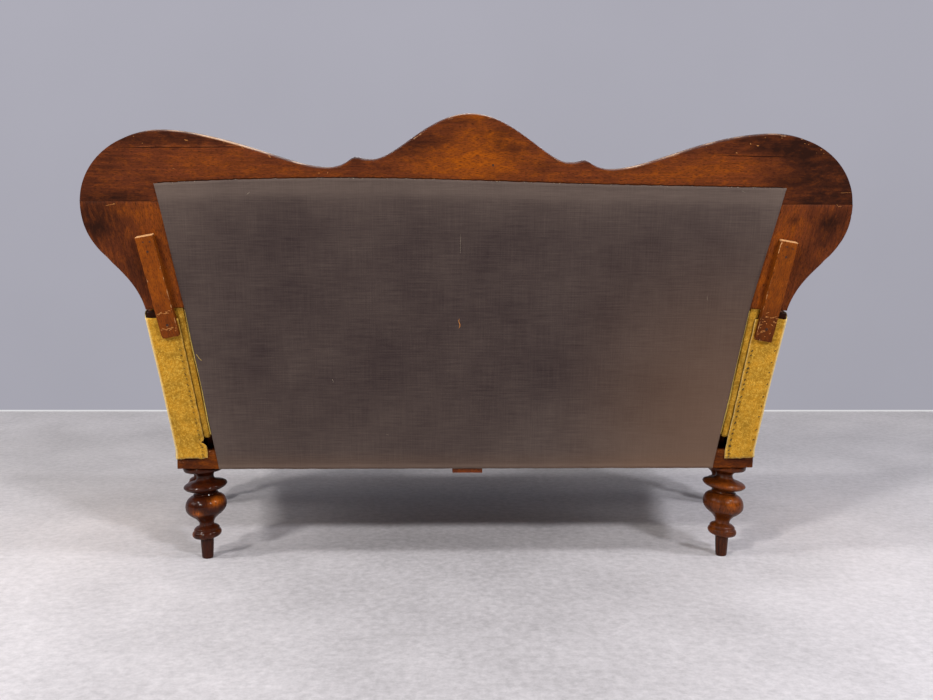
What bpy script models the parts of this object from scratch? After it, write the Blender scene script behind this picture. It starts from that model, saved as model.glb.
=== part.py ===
"""A rococo revival sofa: a turned-leg frame, padded arms and a shaped back.

Metres, +Z up. The sofa stands on z = 0 and faces -Y, and +X is the sitter's left.
The back is drawn on its own raked plane: x across, s up the plane from the
underside of the seat frame, n forwards from the rear face of the back.
"""

from math import atan2, cos, pi, radians, sin, tan

import bmesh
import bpy
from mathutils import Matrix, Vector

# Whole sofa
DEPTH = 0.740
FRAME_BOTTOM = 0.221
RAKE = radians(10)
LEAN = radians(10)
FLARE = radians(10)
CLEARANCE = 0.0003

# Outline of the back, on the raked plane
CREST_HALF = 0.820
VALLEY_X = 0.302
VALLEY = 0.6763
PEAK_RISE = 0.1143
LOBE_RISE = 0.0794
LOBE_RADIUS = 0.180
EAR_X = 0.244
EAR_RISE = 0.0251
HUMP_FOOT_X = 0.203
HUMP_FOOT_RISE = 0.0174
LOBE_DROP = 0.0801
JOINT_DROP = 0.0691
WING_TUCK = 0.1212
WING_FOOT = 0.3764

# Boards of the back
BOARD = 0.032
STILE_WIDTH = 0.070
STILE_SETBACK = 0.0065
TACK_RAIL_FOOT = 0.150
TACK_RAIL_WIDTH = 0.055
TACK_RAIL_BOARD = 0.028
CENTRE_POST_WIDTH = 0.050
CENTRE_POST_BOARD = 0.024
FACING_WIDTH = 0.060
FACING_BOARD = 0.010

# Seat frame
SEAT_RAIL_HEIGHT = 0.100
SIDE_RAIL_TUCK = 0.260
SIDE_RAIL_WIDTH = 0.094
SIDE_RAIL_HEIGHT = 0.044
FRONT_RAIL_BOARD = 0.030
APRON_BOARD = 0.014
APRON_DROP = 0.035
TACK_STRIP_WIDTH = 0.026
STRAP_LAP = 0.030
STRAP_INSET = 0.004
SLAT_WIDTH = 0.068
SLAT_BOARD = 0.010

# Arms
ARM_GAP = 0.0119
ARM_POST_INSET = 0.031
ARM_POST_WIDTH = 0.0625
ARM_POST_DEPTH = 0.050
ARM_RAIL_HEIGHT = 0.040
ARM_FACING_BOARD = 0.022
ARM_PAD = 0.038
ROLL_HEIGHT = 0.046
ROLL_INSIDE = 0.029
SCROLL_HEIGHT = 0.050
SCROLL_LIP = 0.004
SCROLL_FALL = 0.120
FACING_NECK = 0.009
FACING_FLARE = 0.080
ARM_PAD_BULGE = 0.045

# Tenons and the leg spigots
TENON_BOARD = 0.012
TENON_LENGTH = 0.024
TENON_ROOT = 0.010
TENON_SHARE = 0.6
SPIGOT_RADIUS = 0.014
SPIGOT_LENGTH = 0.034

# Turned legs, measured down from the seat frame
LEG_SETBACK = 0.050
REAR_LEG_INSET = 0.0135
FRONT_LEG_INSET = -0.0115
LEG_CANT = 0.002
LEG_SIDES = 14
COLLAR_RADIUS = 0.046
COLLAR_HEIGHT = 0.024
COLLAR_NECK = 0.021
COLLAR_TAPER = 0.004
DISC_RADIUS = 0.0495
DISC_DROP = 0.0488
DISC_HALF = 0.012
BULB_RADIUS = 0.047
BULB_DROP = 0.0968
BULB_RISE = 0.025
BULB_FALL = 0.043
BULB_TOP_NECK = 0.028
BULB_FOOT_NECK = 0.0175
RING_RADIUS = 0.034
RING_DROP = 0.1623
RING_HALF = 0.013
PEG_TOP_RADIUS = 0.015
PEG_FOOT_RADIUS = 0.0125

# Cloth and padding
VELVET = 0.0025
BACK_CLOTH = 0.0015
HESSIAN = 0.0012
WEB_WIDTH = 0.050
WEB = 0.002
CLOTH_HEM = 0.001
CLOTH_SPREAD = 0.0166
CLOTH_TOP_LAP = 0.0367
CLOTH_ARCH = 0.0118
CLOTH_LAP = 0.0022
CLOTH_KNEE = 0.005
OUTSIDE_COVER_DROP = 0.0205
RETURN_INSET = 0.0005
RETURN_FALL = 0.0114
TAIL_FOOT = 0.0705
TAIL_INSET = 0.0045
TAIL_RECESS = 0.003
BACK_PAD = 0.056
BACK_PAD_ROUND = 0.022
LOBE_LIFT = 0.006
SEAT_EDGE = 0.088
SEAT_CROWN = 0.040
SEAT_OVERHANG = 0.006
SEAT_REAR_GAP = 0.012
SOFT_GAP = 0.002

# Seat springs
SPRING_COLUMNS = (-0.42, -0.14, 0.14, 0.42)
SPRING_REAR_INSET = 0.156
SPRING_FRONT_INSET = 0.183
SPRING_WIRE = 0.0040
SPRING_TURNS = 4
SPRING_STEPS = 8
SPRING_END_RADIUS = 0.042
SPRING_WAIST_RADIUS = 0.028

# Battens over the joint between wing and arm
BATTEN_LENGTH = 0.226
BATTEN_WIDTH = 0.038
BATTEN_BOARD = 0.018
BATTEN_LAP = 0.0657
BATTEN_INSET = 0.0082
BATTEN_LEAN = radians(2.3)
BATTEN_ROOM = 0.004
BATTEN_EDGE = 0.0012
SCREW_HEAD_RADIUS = 0.0045
SCREW_SHANK_RADIUS = 0.0022
SCREW_HEAD_DEPTH = 0.003
SCREW_LENGTH = 0.036
SCREW_FOOT_INSET = 0.028
SCREW_HEAD_INSET = 0.034

# Places that follow from the sizes above
CREST_TOP = VALLEY + PEAK_RISE
CREST_JOINT = VALLEY - JOINT_DROP
LOBE_MIDDLE = VALLEY - LOBE_DROP
LOBE_TOP = VALLEY + LOBE_RISE
EAR = VALLEY + EAR_RISE
HUMP_FOOT = VALLEY + HUMP_FOOT_RISE
CLOTH_TOP = CREST_JOINT + CLOTH_TOP_LAP
LOBE_X = CREST_HALF - LOBE_RADIUS
WING_FOOT_X = CREST_HALF - WING_TUCK
SIDE_RAIL_INNER = CREST_HALF - SIDE_RAIL_TUCK
ARM_TOP = FRAME_BOTTOM + (WING_FOOT - ARM_GAP) * cos(RAKE)
TAIL_TOP = FRAME_BOTTOM + WING_FOOT * cos(RAKE) - 2 * CLEARANCE
Y_BACK = DEPTH / 2 - CREST_TOP * sin(RAKE)
Y_FRONT = -DEPTH / 2
Y_FRAME_FRONT = Y_FRONT + ARM_FACING_BOARD + CLEARANCE
DECK = FRAME_BOTTOM + SEAT_RAIL_HEIGHT
SIDE_RAIL_TOP = FRAME_BOTTOM + SIDE_RAIL_HEIGHT
SIDE_RAIL_OUTER = SIDE_RAIL_INNER + SIDE_RAIL_WIDTH
LEG_X = SIDE_RAIL_INNER + SIDE_RAIL_WIDTH / 2
POST_INNER = SIDE_RAIL_INNER + ARM_POST_INSET
POST_OUTER = POST_INNER + ARM_POST_WIDTH
STILE_EDGE = SIDE_RAIL_INNER + STILE_SETBACK
REAR_RAIL_TOP = (SEAT_RAIL_HEIGHT - BOARD * sin(RAKE)) / cos(RAKE) - CLEARANCE
WEB_BASE = BOARD + CLEARANCE
BACK_HESSIAN_BASE = WEB_BASE + WEB + CLEARANCE
BACK_PAD_BASE = BACK_HESSIAN_BASE + HESSIAN + CLEARANCE
BACK_PAD_FRONT = BACK_PAD_BASE + BACK_PAD
COVER = CLEARANCE + VELVET
ARM_PAD_WALL = POST_INNER - 2 * CLEARANCE - HESSIAN
ARM_PAD_FACE = POST_INNER - ARM_PAD
ARM_PAD_FOOT = DECK + CLEARANCE + HESSIAN + COVER + SOFT_GAP
ARM_END = BOARD + FACING_BOARD + 2 * CLEARANCE
SEAT_BASE = DECK + HESSIAN + 3 * CLEARANCE
SPRING_ROWS = (Y_BACK - SPRING_REAR_INSET, Y_FRAME_FRONT + SPRING_FRONT_INSET)

PARTS = "rococo_revival_sofa"
CUTTERS = "rococo_revival_sofa_cutters"
SIDES = ((1, "left"), (-1, "right"))


def clear_scene():
    for old in list(bpy.data.objects):
        bpy.data.objects.remove(old, do_unlink=True)


def new_collection(name):
    made = bpy.data.collections.new(name)
    bpy.context.scene.collection.children.link(made)
    return made


def make_material(name, colour, roughness, metallic=0.0):
    made = bpy.data.materials.new(name)
    made.use_nodes = True
    shader = made.node_tree.nodes["Principled BSDF"]
    shader.inputs["Base Color"].default_value = (*colour, 1.0)
    shader.inputs["Roughness"].default_value = roughness
    shader.inputs["Metallic"].default_value = metallic
    return made


def bezier(start, pull_start, pull_end, end, steps):
    """Points of a cubic curve from start up to, but without, its end."""
    points = []
    for step in range(steps):
        t = step / steps
        u = 1 - t
        points.append(tuple(
            u * u * u * a + 3 * u * u * t * b + 3 * u * t * t * c + t * t * t * d
            for a, b, c, d in zip(start, pull_start, pull_end, end)
        ))
    return points


def ellipse(centre, radii, first, last, steps):
    """Points of an elliptic arc from the first angle up to, but without, the last."""
    points = []
    for step in range(steps):
        angle = first + (last - first) * step / steps
        points.append((
            centre[0] + radii[0] * cos(angle),
            centre[1] + radii[1] * sin(angle),
        ))
    return points


def mirrored(half):
    """A half outline that runs from the left towards x = 0, and its mirror image."""
    return half + [(-x, y) for x, y in reversed(half) if x > 0]


def offset_path(path, distance):
    """An open path moved to its left by a distance."""
    moved = []
    for index, (x, y) in enumerate(path):
        before = path[max(index - 1, 0)]
        after = path[min(index + 1, len(path) - 1)]
        run = Vector((after[0] - before[0], after[1] - before[1])).normalized()
        moved.append((x - run.y * distance, y + run.x * distance))
    return moved


def rear_y(z, n=0.0):
    """Where the raked plane lies at a height, n forwards from the back's rear face."""
    return Y_BACK + (z - FRAME_BOTTOM) * tan(RAKE) - n / cos(RAKE)


def flare_x(x, y):
    """A place across the rear of the side frame, carried forwards to y."""
    return x + (Y_BACK - y) * tan(FLARE)


def arm_point(x, y, z):
    """A point of an arm, which leans outwards above the side rail."""
    return Vector((flare_x(x, y) + max(z - SIDE_RAIL_TOP, 0) * tan(LEAN), y, z))


def arm_x_on_back(x, s, n=0.0):
    """Where an arm's x lies on the back's plane, at s up and n forwards."""
    y = Y_BACK + s * sin(RAKE) - n * cos(RAKE)
    z = FRAME_BOTTOM + s * cos(RAKE) + n * sin(RAKE)
    return arm_point(x, y, z).x


def back_s(z, n=0.0):
    """How far up the back's plane a height lies, n forwards from its rear face."""
    return (z - FRAME_BOTTOM - n * sin(RAKE)) / cos(RAKE)


REAR_RAIL_HALF = flare_x(SIDE_RAIL_INNER, rear_y(SIDE_RAIL_TOP)) - CLEARANCE


class Workshop:
    """Holds the collections, the materials and the raked plane while pieces are made."""

    def __init__(self):
        self.parts = new_collection(PARTS)
        self.cutters = new_collection(CUTTERS)
        self.back = bpy.data.objects.new("back_plane", None)
        self.back.location = (0, Y_BACK, FRAME_BOTTOM)
        self.back.rotation_euler = (pi / 2 - RAKE, 0, 0)
        self.parts.objects.link(self.back)
        self.wood = make_material("stained_wood", (0.075, 0.022, 0.012), 0.5)
        self.show_wood = make_material("polished_mahogany", (0.060, 0.014, 0.007), 0.3)
        self.batten = make_material("batten_wood", (0.240, 0.070, 0.016), 0.6)
        self.velvet = make_material("yellow_velvet", (0.500, 0.310, 0.030), 0.85)
        self.cloth = make_material("taupe_cloth", (0.070, 0.050, 0.045), 0.9)
        self.jute = make_material("jute", (0.330, 0.230, 0.130), 0.9)
        self.horsehair = make_material("horsehair", (0.100, 0.075, 0.055), 0.95)
        self.steel = make_material("spring_steel", (0.300, 0.290, 0.280), 0.4, 1.0)

    def add(self, name, mesh, material=None, parent=None):
        """Puts a mesh in the parts or, without a material, among the cutters."""
        made = bpy.data.objects.new(name, mesh)
        made.parent = parent
        if material is None:
            made.hide_render = True
            made.display_type = "WIRE"
            self.cutters.objects.link(made)
            return made
        mesh.materials.clear()
        mesh.materials.append(material)
        self.parts.objects.link(made)
        return made

    def solid(self, outline, thickness):
        """A closed mesh of a flat outline, from z = 0 to its thickness."""
        curve = bpy.data.curves.new("outline", "CURVE")
        curve.dimensions = "2D"
        curve.fill_mode = "BOTH"
        curve.extrude = thickness / 2
        spline = curve.splines.new("POLY")
        spline.points.add(len(outline) - 1)
        for point, (x, y) in zip(spline.points, outline):
            point.co = (x, y, 0, 1)
        spline.use_cyclic_u = True
        drawn = bpy.data.objects.new("outline", curve)
        mesh = self.evaluated(drawn)
        mesh.transform(Matrix.Translation((0, 0, thickness / 2)))
        return mesh

    def evaluated(self, drawn):
        """The closed mesh of an object with its modifiers or its curve's depth."""
        self.cutters.objects.link(drawn)
        bpy.context.view_layer.update()
        graph = bpy.context.evaluated_depsgraph_get()
        mesh = bpy.data.meshes.new_from_object(drawn.evaluated_get(graph))
        bpy.data.objects.remove(drawn, do_unlink=True)
        shell = bmesh.new()
        shell.from_mesh(mesh)
        bmesh.ops.remove_doubles(shell, verts=shell.verts, dist=0.00001)
        bmesh.ops.recalc_face_normals(shell, faces=shell.faces)
        shell.to_mesh(mesh)
        shell.free()
        return mesh

    def back_board(self, name, outline, base, thickness, material):
        """A board drawn on the raked plane, starting base forwards of its rear face."""
        made = self.add(name, self.solid(outline, thickness), material, self.back)
        made.location = (0, 0, base)
        return made

    def box(self, name, size, location, material=None, parent=None, turn=0.0):
        """A box with its centre at the location."""
        shell = bmesh.new()
        bmesh.ops.create_cube(shell, size=1, matrix=Matrix.Diagonal((*size, 1)))
        mesh = bpy.data.meshes.new(name)
        shell.to_mesh(mesh)
        shell.free()
        made = self.add(name, mesh, material, parent)
        made.location = location
        made.rotation_euler = (0, 0, turn)
        return made

    def arm_solid(self, name, outline, rear_end, front_end, side, material=None):
        """A section of an arm, carried from one end to the other. An end gives y for z."""
        mesh = self.solid(outline, 1)
        for vertex in mesh.vertices:
            x, z, end = vertex.co
            y = front_end(z) if end > 0.5 else rear_end(z)
            vertex.co = arm_point(x, y, z)
        if side < 0:
            mesh.transform(Matrix.Diagonal((-1, 1, 1, 1)))
        shell = bmesh.new()
        shell.from_mesh(mesh)
        bmesh.ops.recalc_face_normals(shell, faces=shell.faces)
        shell.to_mesh(mesh)
        shell.free()
        return self.add(name, mesh, material)

    def turned(self, profile, sides):
        """A closed mesh turned about z, from a profile that runs top to bottom."""
        mesh = bpy.data.meshes.new("profile")
        edges = [(i, i + 1) for i in range(len(profile) - 1)]
        mesh.from_pydata([(r, 0, z) for r, z in profile], edges, [])
        drawn = bpy.data.objects.new("profile", mesh)
        turn = drawn.modifiers.new("Turn", "SCREW")
        turn.axis = "Z"
        turn.steps = sides
        turn.render_steps = sides
        turn.use_merge_vertices = True
        turn.merge_threshold = 0.00001
        made = self.evaluated(drawn)
        made.shade_smooth()
        made.set_sharp_from_angle(angle=radians(40))
        return made

    def cover(self, name, pad, keeps, parent=None):
        """A velvet shell over those faces of a pad whose normal is kept."""
        shell = bmesh.new()
        shell.from_mesh(pad.data)
        left_out = [face for face in shell.faces if not keeps(face)]
        bmesh.ops.delete(shell, geom=left_out, context="FACES")
        shell.normal_update()
        for vertex in shell.verts:
            vertex.co += vertex.normal * CLEARANCE
        mesh = bpy.data.meshes.new(name)
        shell.to_mesh(mesh)
        shell.free()
        mesh.shade_smooth()
        made = self.add(name, mesh, self.velvet, parent)
        thick = made.modifiers.new("Velvet", "SOLIDIFY")
        thick.thickness = VELVET
        thick.offset = 1
        return made


def cut(part, cutter):
    modifier = part.modifiers.new(f"Cut {cutter.name}", "BOOLEAN")
    modifier.operation = "DIFFERENCE"
    modifier.object = cutter


def join(part, other):
    modifier = part.modifiers.new(f"Join {other.name}", "BOOLEAN")
    modifier.operation = "UNION"
    modifier.object = other


def tenon(shop, name, part, into, size, centre, axis, out, parent=None):
    """A tenon that stands out of a part and its socket in another.

    The size leaves out the length along the axis. The centre is where the tenon
    leaves the part, and out says which way it goes.
    """
    length = TENON_LENGTH + TENON_ROOT
    shift = out * (TENON_LENGTH - TENON_ROOT) / 2
    tongue = list(size)
    tongue.insert(axis, length)
    place = list(centre)
    place[axis] += shift
    join(part, shop.box(f"{name}_tenon", tongue, place, parent=parent))
    socket = [side + 2 * CLEARANCE for side in tongue]
    cut(into, shop.box(f"{name}_mortise", socket, place, parent=parent))


def crest_line(inset=0.0):
    """Half of the crest's outline, from the lobe's widest point to the middle.

    With an inset it is the inner line of the face band, which leaves out the ear.
    """
    lobe = ellipse(
        (LOBE_X, LOBE_MIDDLE),
        (CREST_HALF - LOBE_X - inset, LOBE_TOP - LOBE_MIDDLE - inset),
        0, pi / 2, 10,
    )
    low = VALLEY - inset
    slope = bezier(
        (LOBE_X, LOBE_TOP - inset),
        (LOBE_X - 0.394 * (LOBE_X - VALLEY_X), LOBE_TOP - inset),
        (VALLEY_X + 0.253 * (LOBE_X - VALLEY_X), low),
        (VALLEY_X, low), 8,
    )
    top = CREST_TOP - inset
    if inset:
        hump = bezier(
            (VALLEY_X, low), (0.60 * VALLEY_X, low), (0.30 * VALLEY_X, top), (0, top), 8
        )
        return lobe + slope + hump + [(0, top)]
    ear = bezier(
        (VALLEY_X, low),
        (EAR_X + 0.51 * (VALLEY_X - EAR_X), low),
        (EAR_X + 0.285 * (VALLEY_X - EAR_X), low + 0.466 * (EAR - low)),
        (EAR_X, EAR), 4,
    )
    notch = bezier(
        (EAR_X, EAR),
        (EAR_X - 0.27 * (EAR_X - HUMP_FOOT_X), HUMP_FOOT + 0.06 * (EAR - HUMP_FOOT)),
        (HUMP_FOOT_X + 0.40 * (EAR_X - HUMP_FOOT_X), HUMP_FOOT),
        (HUMP_FOOT_X, HUMP_FOOT), 3,
    )
    hump = bezier(
        (HUMP_FOOT_X, HUMP_FOOT),
        (0.743 * HUMP_FOOT_X, HUMP_FOOT + 0.078 * (top - HUMP_FOOT)),
        (0.426 * HUMP_FOOT_X, top),
        (0, top), 8,
    )
    return lobe + slope + ear + notch + hump + [(0, top)]


def wing_line(inset=0.0, foot=WING_FOOT):
    """The wing's outer edge, from its foot up to the lobe's widest point."""
    widest = CREST_HALF - inset
    foot_x = WING_FOOT_X - 0.8 * inset
    rise = LOBE_MIDDLE - foot
    return bezier(
        (foot_x, foot),
        (foot_x + 0.221 * (widest - foot_x), foot + 0.454 * rise),
        (widest, LOBE_MIDDLE - 0.50 * rise),
        (widest, LOBE_MIDDLE), 9,
    )


def make_back_frame(shop):
    crest = shop.back_board(
        "crest_rail",
        [(x, max(s, CREST_JOINT + CLEARANCE / 2)) for x, s in mirrored(crest_line())],
        0, BOARD, shop.wood,
    )
    rear_rail = shop.back_board(
        "rear_seat_rail", mirrored([(REAR_RAIL_HALF, 0), (REAR_RAIL_HALF, REAR_RAIL_TOP)]),
        0, BOARD, shop.wood,
    )
    tack_rail_top = TACK_RAIL_FOOT + TACK_RAIL_WIDTH

    def stile_inner(s):
        return arm_x_on_back(STILE_EDGE, s) - STILE_WIDTH

    tack_rail = shop.back_board(
        "back_tack_rail",
        mirrored([
            (stile_inner(TACK_RAIL_FOOT) - CLEARANCE, TACK_RAIL_FOOT),
            (stile_inner(tack_rail_top) - CLEARANCE, tack_rail_top),
        ]),
        BOARD - TACK_RAIL_BOARD, TACK_RAIL_BOARD, shop.wood,
    )
    shop.box(
        "back_centre_post",
        (CENTRE_POST_WIDTH, CREST_JOINT - tack_rail_top - 2 * CLEARANCE, CENTRE_POST_BOARD),
        (0, (CREST_JOINT + tack_rail_top) / 2, BOARD / 2), shop.wood, shop.back,
    )
    stile_foot = REAR_RAIL_TOP + CLEARANCE
    stile_top = CREST_JOINT - CLEARANCE / 2
    stiles = {}
    for side, word in SIDES:
        wing = [(x, min(s, stile_top)) for x, s in wing_line()]
        outline = [
            (stile_inner(stile_foot), stile_foot),
            (arm_x_on_back(STILE_EDGE, stile_foot), stile_foot),
            (arm_x_on_back(STILE_EDGE, WING_FOOT), WING_FOOT),
            *wing,
            (CREST_HALF, min(LOBE_MIDDLE, stile_top - CLEARANCE)),
            (CREST_HALF, stile_top),
            (stile_inner(stile_top), stile_top),
        ]
        stile = shop.back_board(
            f"back_stile_{word}", [(side * x, s) for x, s in outline], 0, BOARD, shop.wood
        )
        stiles[side] = stile
        middle = side * (stile_inner(stile_foot) + STILE_WIDTH / 2)
        tenon(
            shop, f"stile_foot_{word}", stile, rear_rail,
            (TENON_SHARE * STILE_WIDTH, TENON_BOARD), (middle, stile_foot, BOARD / 2),
            1, -1, shop.back,
        )
        tenon(
            shop, f"stile_top_{word}", stile, crest,
            (STILE_WIDTH, TENON_BOARD), (side * LOBE_X, stile_top, BOARD / 2),
            1, 1, shop.back,
        )
        middle_s = TACK_RAIL_FOOT + TACK_RAIL_WIDTH / 2
        tenon(
            shop, f"tack_rail_{word}", tack_rail, stile,
            (TENON_SHARE * TACK_RAIL_WIDTH, TENON_BOARD),
            (side * (stile_inner(middle_s) - CLEARANCE), middle_s, BOARD / 2),
            0, side, shop.back,
        )
    inner = wing_line(FACING_WIDTH) + crest_line(FACING_WIDTH)
    outer = wing_line() + crest_line()
    band = mirrored(outer) + list(reversed(mirrored(inner)))
    shop.back_board("crest_facing", band, BOARD + CLEARANCE, FACING_BOARD, shop.show_wood)
    return rear_rail, stiles


def make_seat_frame(shop, rear_rail):
    half = flare_x(SIDE_RAIL_INNER, Y_FRAME_FRONT) - CLEARANCE
    inner_y = Y_FRAME_FRONT + FRONT_RAIL_BOARD
    inner_half = flare_x(SIDE_RAIL_INNER, inner_y) - CLEARANCE
    front_rail = shop.add(
        "front_seat_rail",
        shop.solid(
            [(half, Y_FRAME_FRONT), (inner_half, inner_y), (-inner_half, inner_y), (-half, Y_FRAME_FRONT)],
            SEAT_RAIL_HEIGHT,
        ),
        shop.wood,
    )
    front_rail.location.z = FRAME_BOTTOM
    low = -APRON_DROP
    wave = bezier((half, 0), (0.85 * half, -0.4 * APRON_DROP), (0.75 * half, 0.5 * APRON_DROP),
                  (0.5 * half, 0), 7)
    wave += bezier((0.5 * half, 0), (0.33 * half, low / 2), (0.2 * half, low), (0, low), 7)
    apron = shop.add(
        "front_apron",
        shop.solid(mirrored([(half, SEAT_RAIL_HEIGHT - CLEARANCE), *wave, (0, low)]), APRON_BOARD),
        shop.show_wood,
    )
    apron.location = (0, Y_FRAME_FRONT - CLEARANCE, FRAME_BOTTOM)
    apron.rotation_euler = (pi / 2, 0, 0)
    rails = {}
    for side, word in SIDES:
        section = [
            (SIDE_RAIL_INNER, FRAME_BOTTOM),
            (SIDE_RAIL_OUTER, FRAME_BOTTOM),
            (SIDE_RAIL_OUTER, SIDE_RAIL_TOP),
            (SIDE_RAIL_INNER, SIDE_RAIL_TOP),
        ]
        rail = shop.arm_solid(
            f"side_rail_{word}", section, rear_y, lambda z: Y_FRAME_FRONT, side, shop.wood
        )
        rails[side] = rail
        middle_s = SIDE_RAIL_HEIGHT / 2
        tenon(
            shop, f"rear_rail_{word}", rear_rail, rail,
            (TENON_SHARE * SIDE_RAIL_HEIGHT, TENON_BOARD),
            (side * REAR_RAIL_HALF, middle_s, BOARD / 2),
            0, side, shop.back,
        )
        tenon(
            shop, f"front_rail_{word}", front_rail, rail,
            (TENON_BOARD, TENON_SHARE * SIDE_RAIL_HEIGHT),
            (side * inner_half, Y_FRAME_FRONT + FRONT_RAIL_BOARD / 2, FRAME_BOTTOM + middle_s),
            0, side,
        )
        strip = [
            (SIDE_RAIL_INNER, SIDE_RAIL_TOP + CLEARANCE),
            (SIDE_RAIL_INNER + TACK_STRIP_WIDTH, SIDE_RAIL_TOP + CLEARANCE),
            (SIDE_RAIL_INNER + TACK_STRIP_WIDTH, DECK),
            (SIDE_RAIL_INNER, DECK),
        ]
        shop.arm_solid(
            f"side_tack_strip_{word}", strip, lambda z: rear_y(z, ARM_END),
            lambda z: Y_FRAME_FRONT, side, shop.wood,
        )
    slat_top = -CLEARANCE
    relief = WEB + CLEARANCE
    rear_end = Y_BACK
    slat = [
        (Y_FRAME_FRONT, slat_top - SLAT_BOARD),
        (rear_end, slat_top - SLAT_BOARD),
        (rear_end, slat_top),
        (rear_end - BOARD, slat_top),
        (rear_end - BOARD, slat_top - relief),
        (inner_y, slat_top - relief),
        (inner_y, slat_top),
        (Y_FRAME_FRONT, slat_top),
    ]
    board = shop.add("centre_slat", shop.solid(slat, SLAT_WIDTH), shop.wood)
    board.location = (-SLAT_WIDTH / 2, 0, FRAME_BOTTOM)
    board.rotation_euler = (pi / 2, 0, pi / 2)
    return rails


def leg_profile():
    """The turned leg from its spigot down to the floor, as radius and height."""
    top = -CLEARANCE
    disc = -DISC_DROP
    bulb = -BULB_DROP
    ring = -RING_DROP
    profile = [(0, SPIGOT_LENGTH), (SPIGOT_RADIUS, SPIGOT_LENGTH), (SPIGOT_RADIUS, top)]
    profile += bezier(
        (COLLAR_RADIUS, top),
        (COLLAR_RADIUS - COLLAR_TAPER, top - 0.7 * COLLAR_HEIGHT),
        (COLLAR_NECK, top - 0.5 * COLLAR_HEIGHT),
        (COLLAR_NECK, top - COLLAR_HEIGHT), 4,
    )
    profile += ellipse(
        (COLLAR_NECK, disc), (DISC_RADIUS - COLLAR_NECK, DISC_HALF), pi / 2, 0, 3
    )
    profile += ellipse(
        (BULB_TOP_NECK, disc), (DISC_RADIUS - BULB_TOP_NECK, DISC_HALF), 0, -pi / 2, 3
    )
    profile += ellipse(
        (BULB_TOP_NECK, bulb), (BULB_RADIUS - BULB_TOP_NECK, BULB_RISE), pi / 2, 0, 4
    )
    profile += ellipse(
        (BULB_FOOT_NECK, bulb), (BULB_RADIUS - BULB_FOOT_NECK, BULB_FALL), 0, -pi / 2, 4
    )
    profile += ellipse(
        (BULB_FOOT_NECK, ring), (RING_RADIUS - BULB_FOOT_NECK, RING_HALF), pi / 2, 0, 3
    )
    profile += ellipse(
        (PEG_TOP_RADIUS, ring), (RING_RADIUS - PEG_TOP_RADIUS, RING_HALF), 0, -pi / 2, 3
    )
    profile.append((PEG_TOP_RADIUS, ring - RING_HALF))
    profile.append((PEG_FOOT_RADIUS, -FRAME_BOTTOM))
    profile.append((0, -FRAME_BOTTOM))
    return profile


def make_legs(shop, rails):
    leg = shop.turned(leg_profile(), LEG_SIDES)
    bore_radius = SPIGOT_RADIUS + CLEARANCE
    bore_top = SPIGOT_LENGTH + CLEARANCE
    bore = shop.turned(
        [(0, bore_top), (bore_radius, bore_top), (bore_radius, -COLLAR_HEIGHT), (0, -COLLAR_HEIGHT)],
        LEG_SIDES,
    )
    rear = Y_BACK - LEG_SETBACK
    front = Y_FRAME_FRONT + LEG_SETBACK
    for side, word in SIDES:
        cant = Matrix.Identity(4)
        cant[0][2] = side * LEG_CANT / FRAME_BOTTOM
        for y, inset, place in ((rear, REAR_LEG_INSET, "rear"), (front, FRONT_LEG_INSET, "front")):
            spot = (side * flare_x(LEG_X - inset, y), y, FRAME_BOTTOM)
            turned_leg = leg.copy()
            turned_leg.transform(cant)
            shop.add(f"{place}_leg_{word}", turned_leg, shop.show_wood).location = spot
            hole = bore.copy()
            hole.transform(cant)
            socket = shop.add(f"{place}_leg_bore_{word}", hole)
            socket.location = spot
            cut(rails[side], socket)


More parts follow.
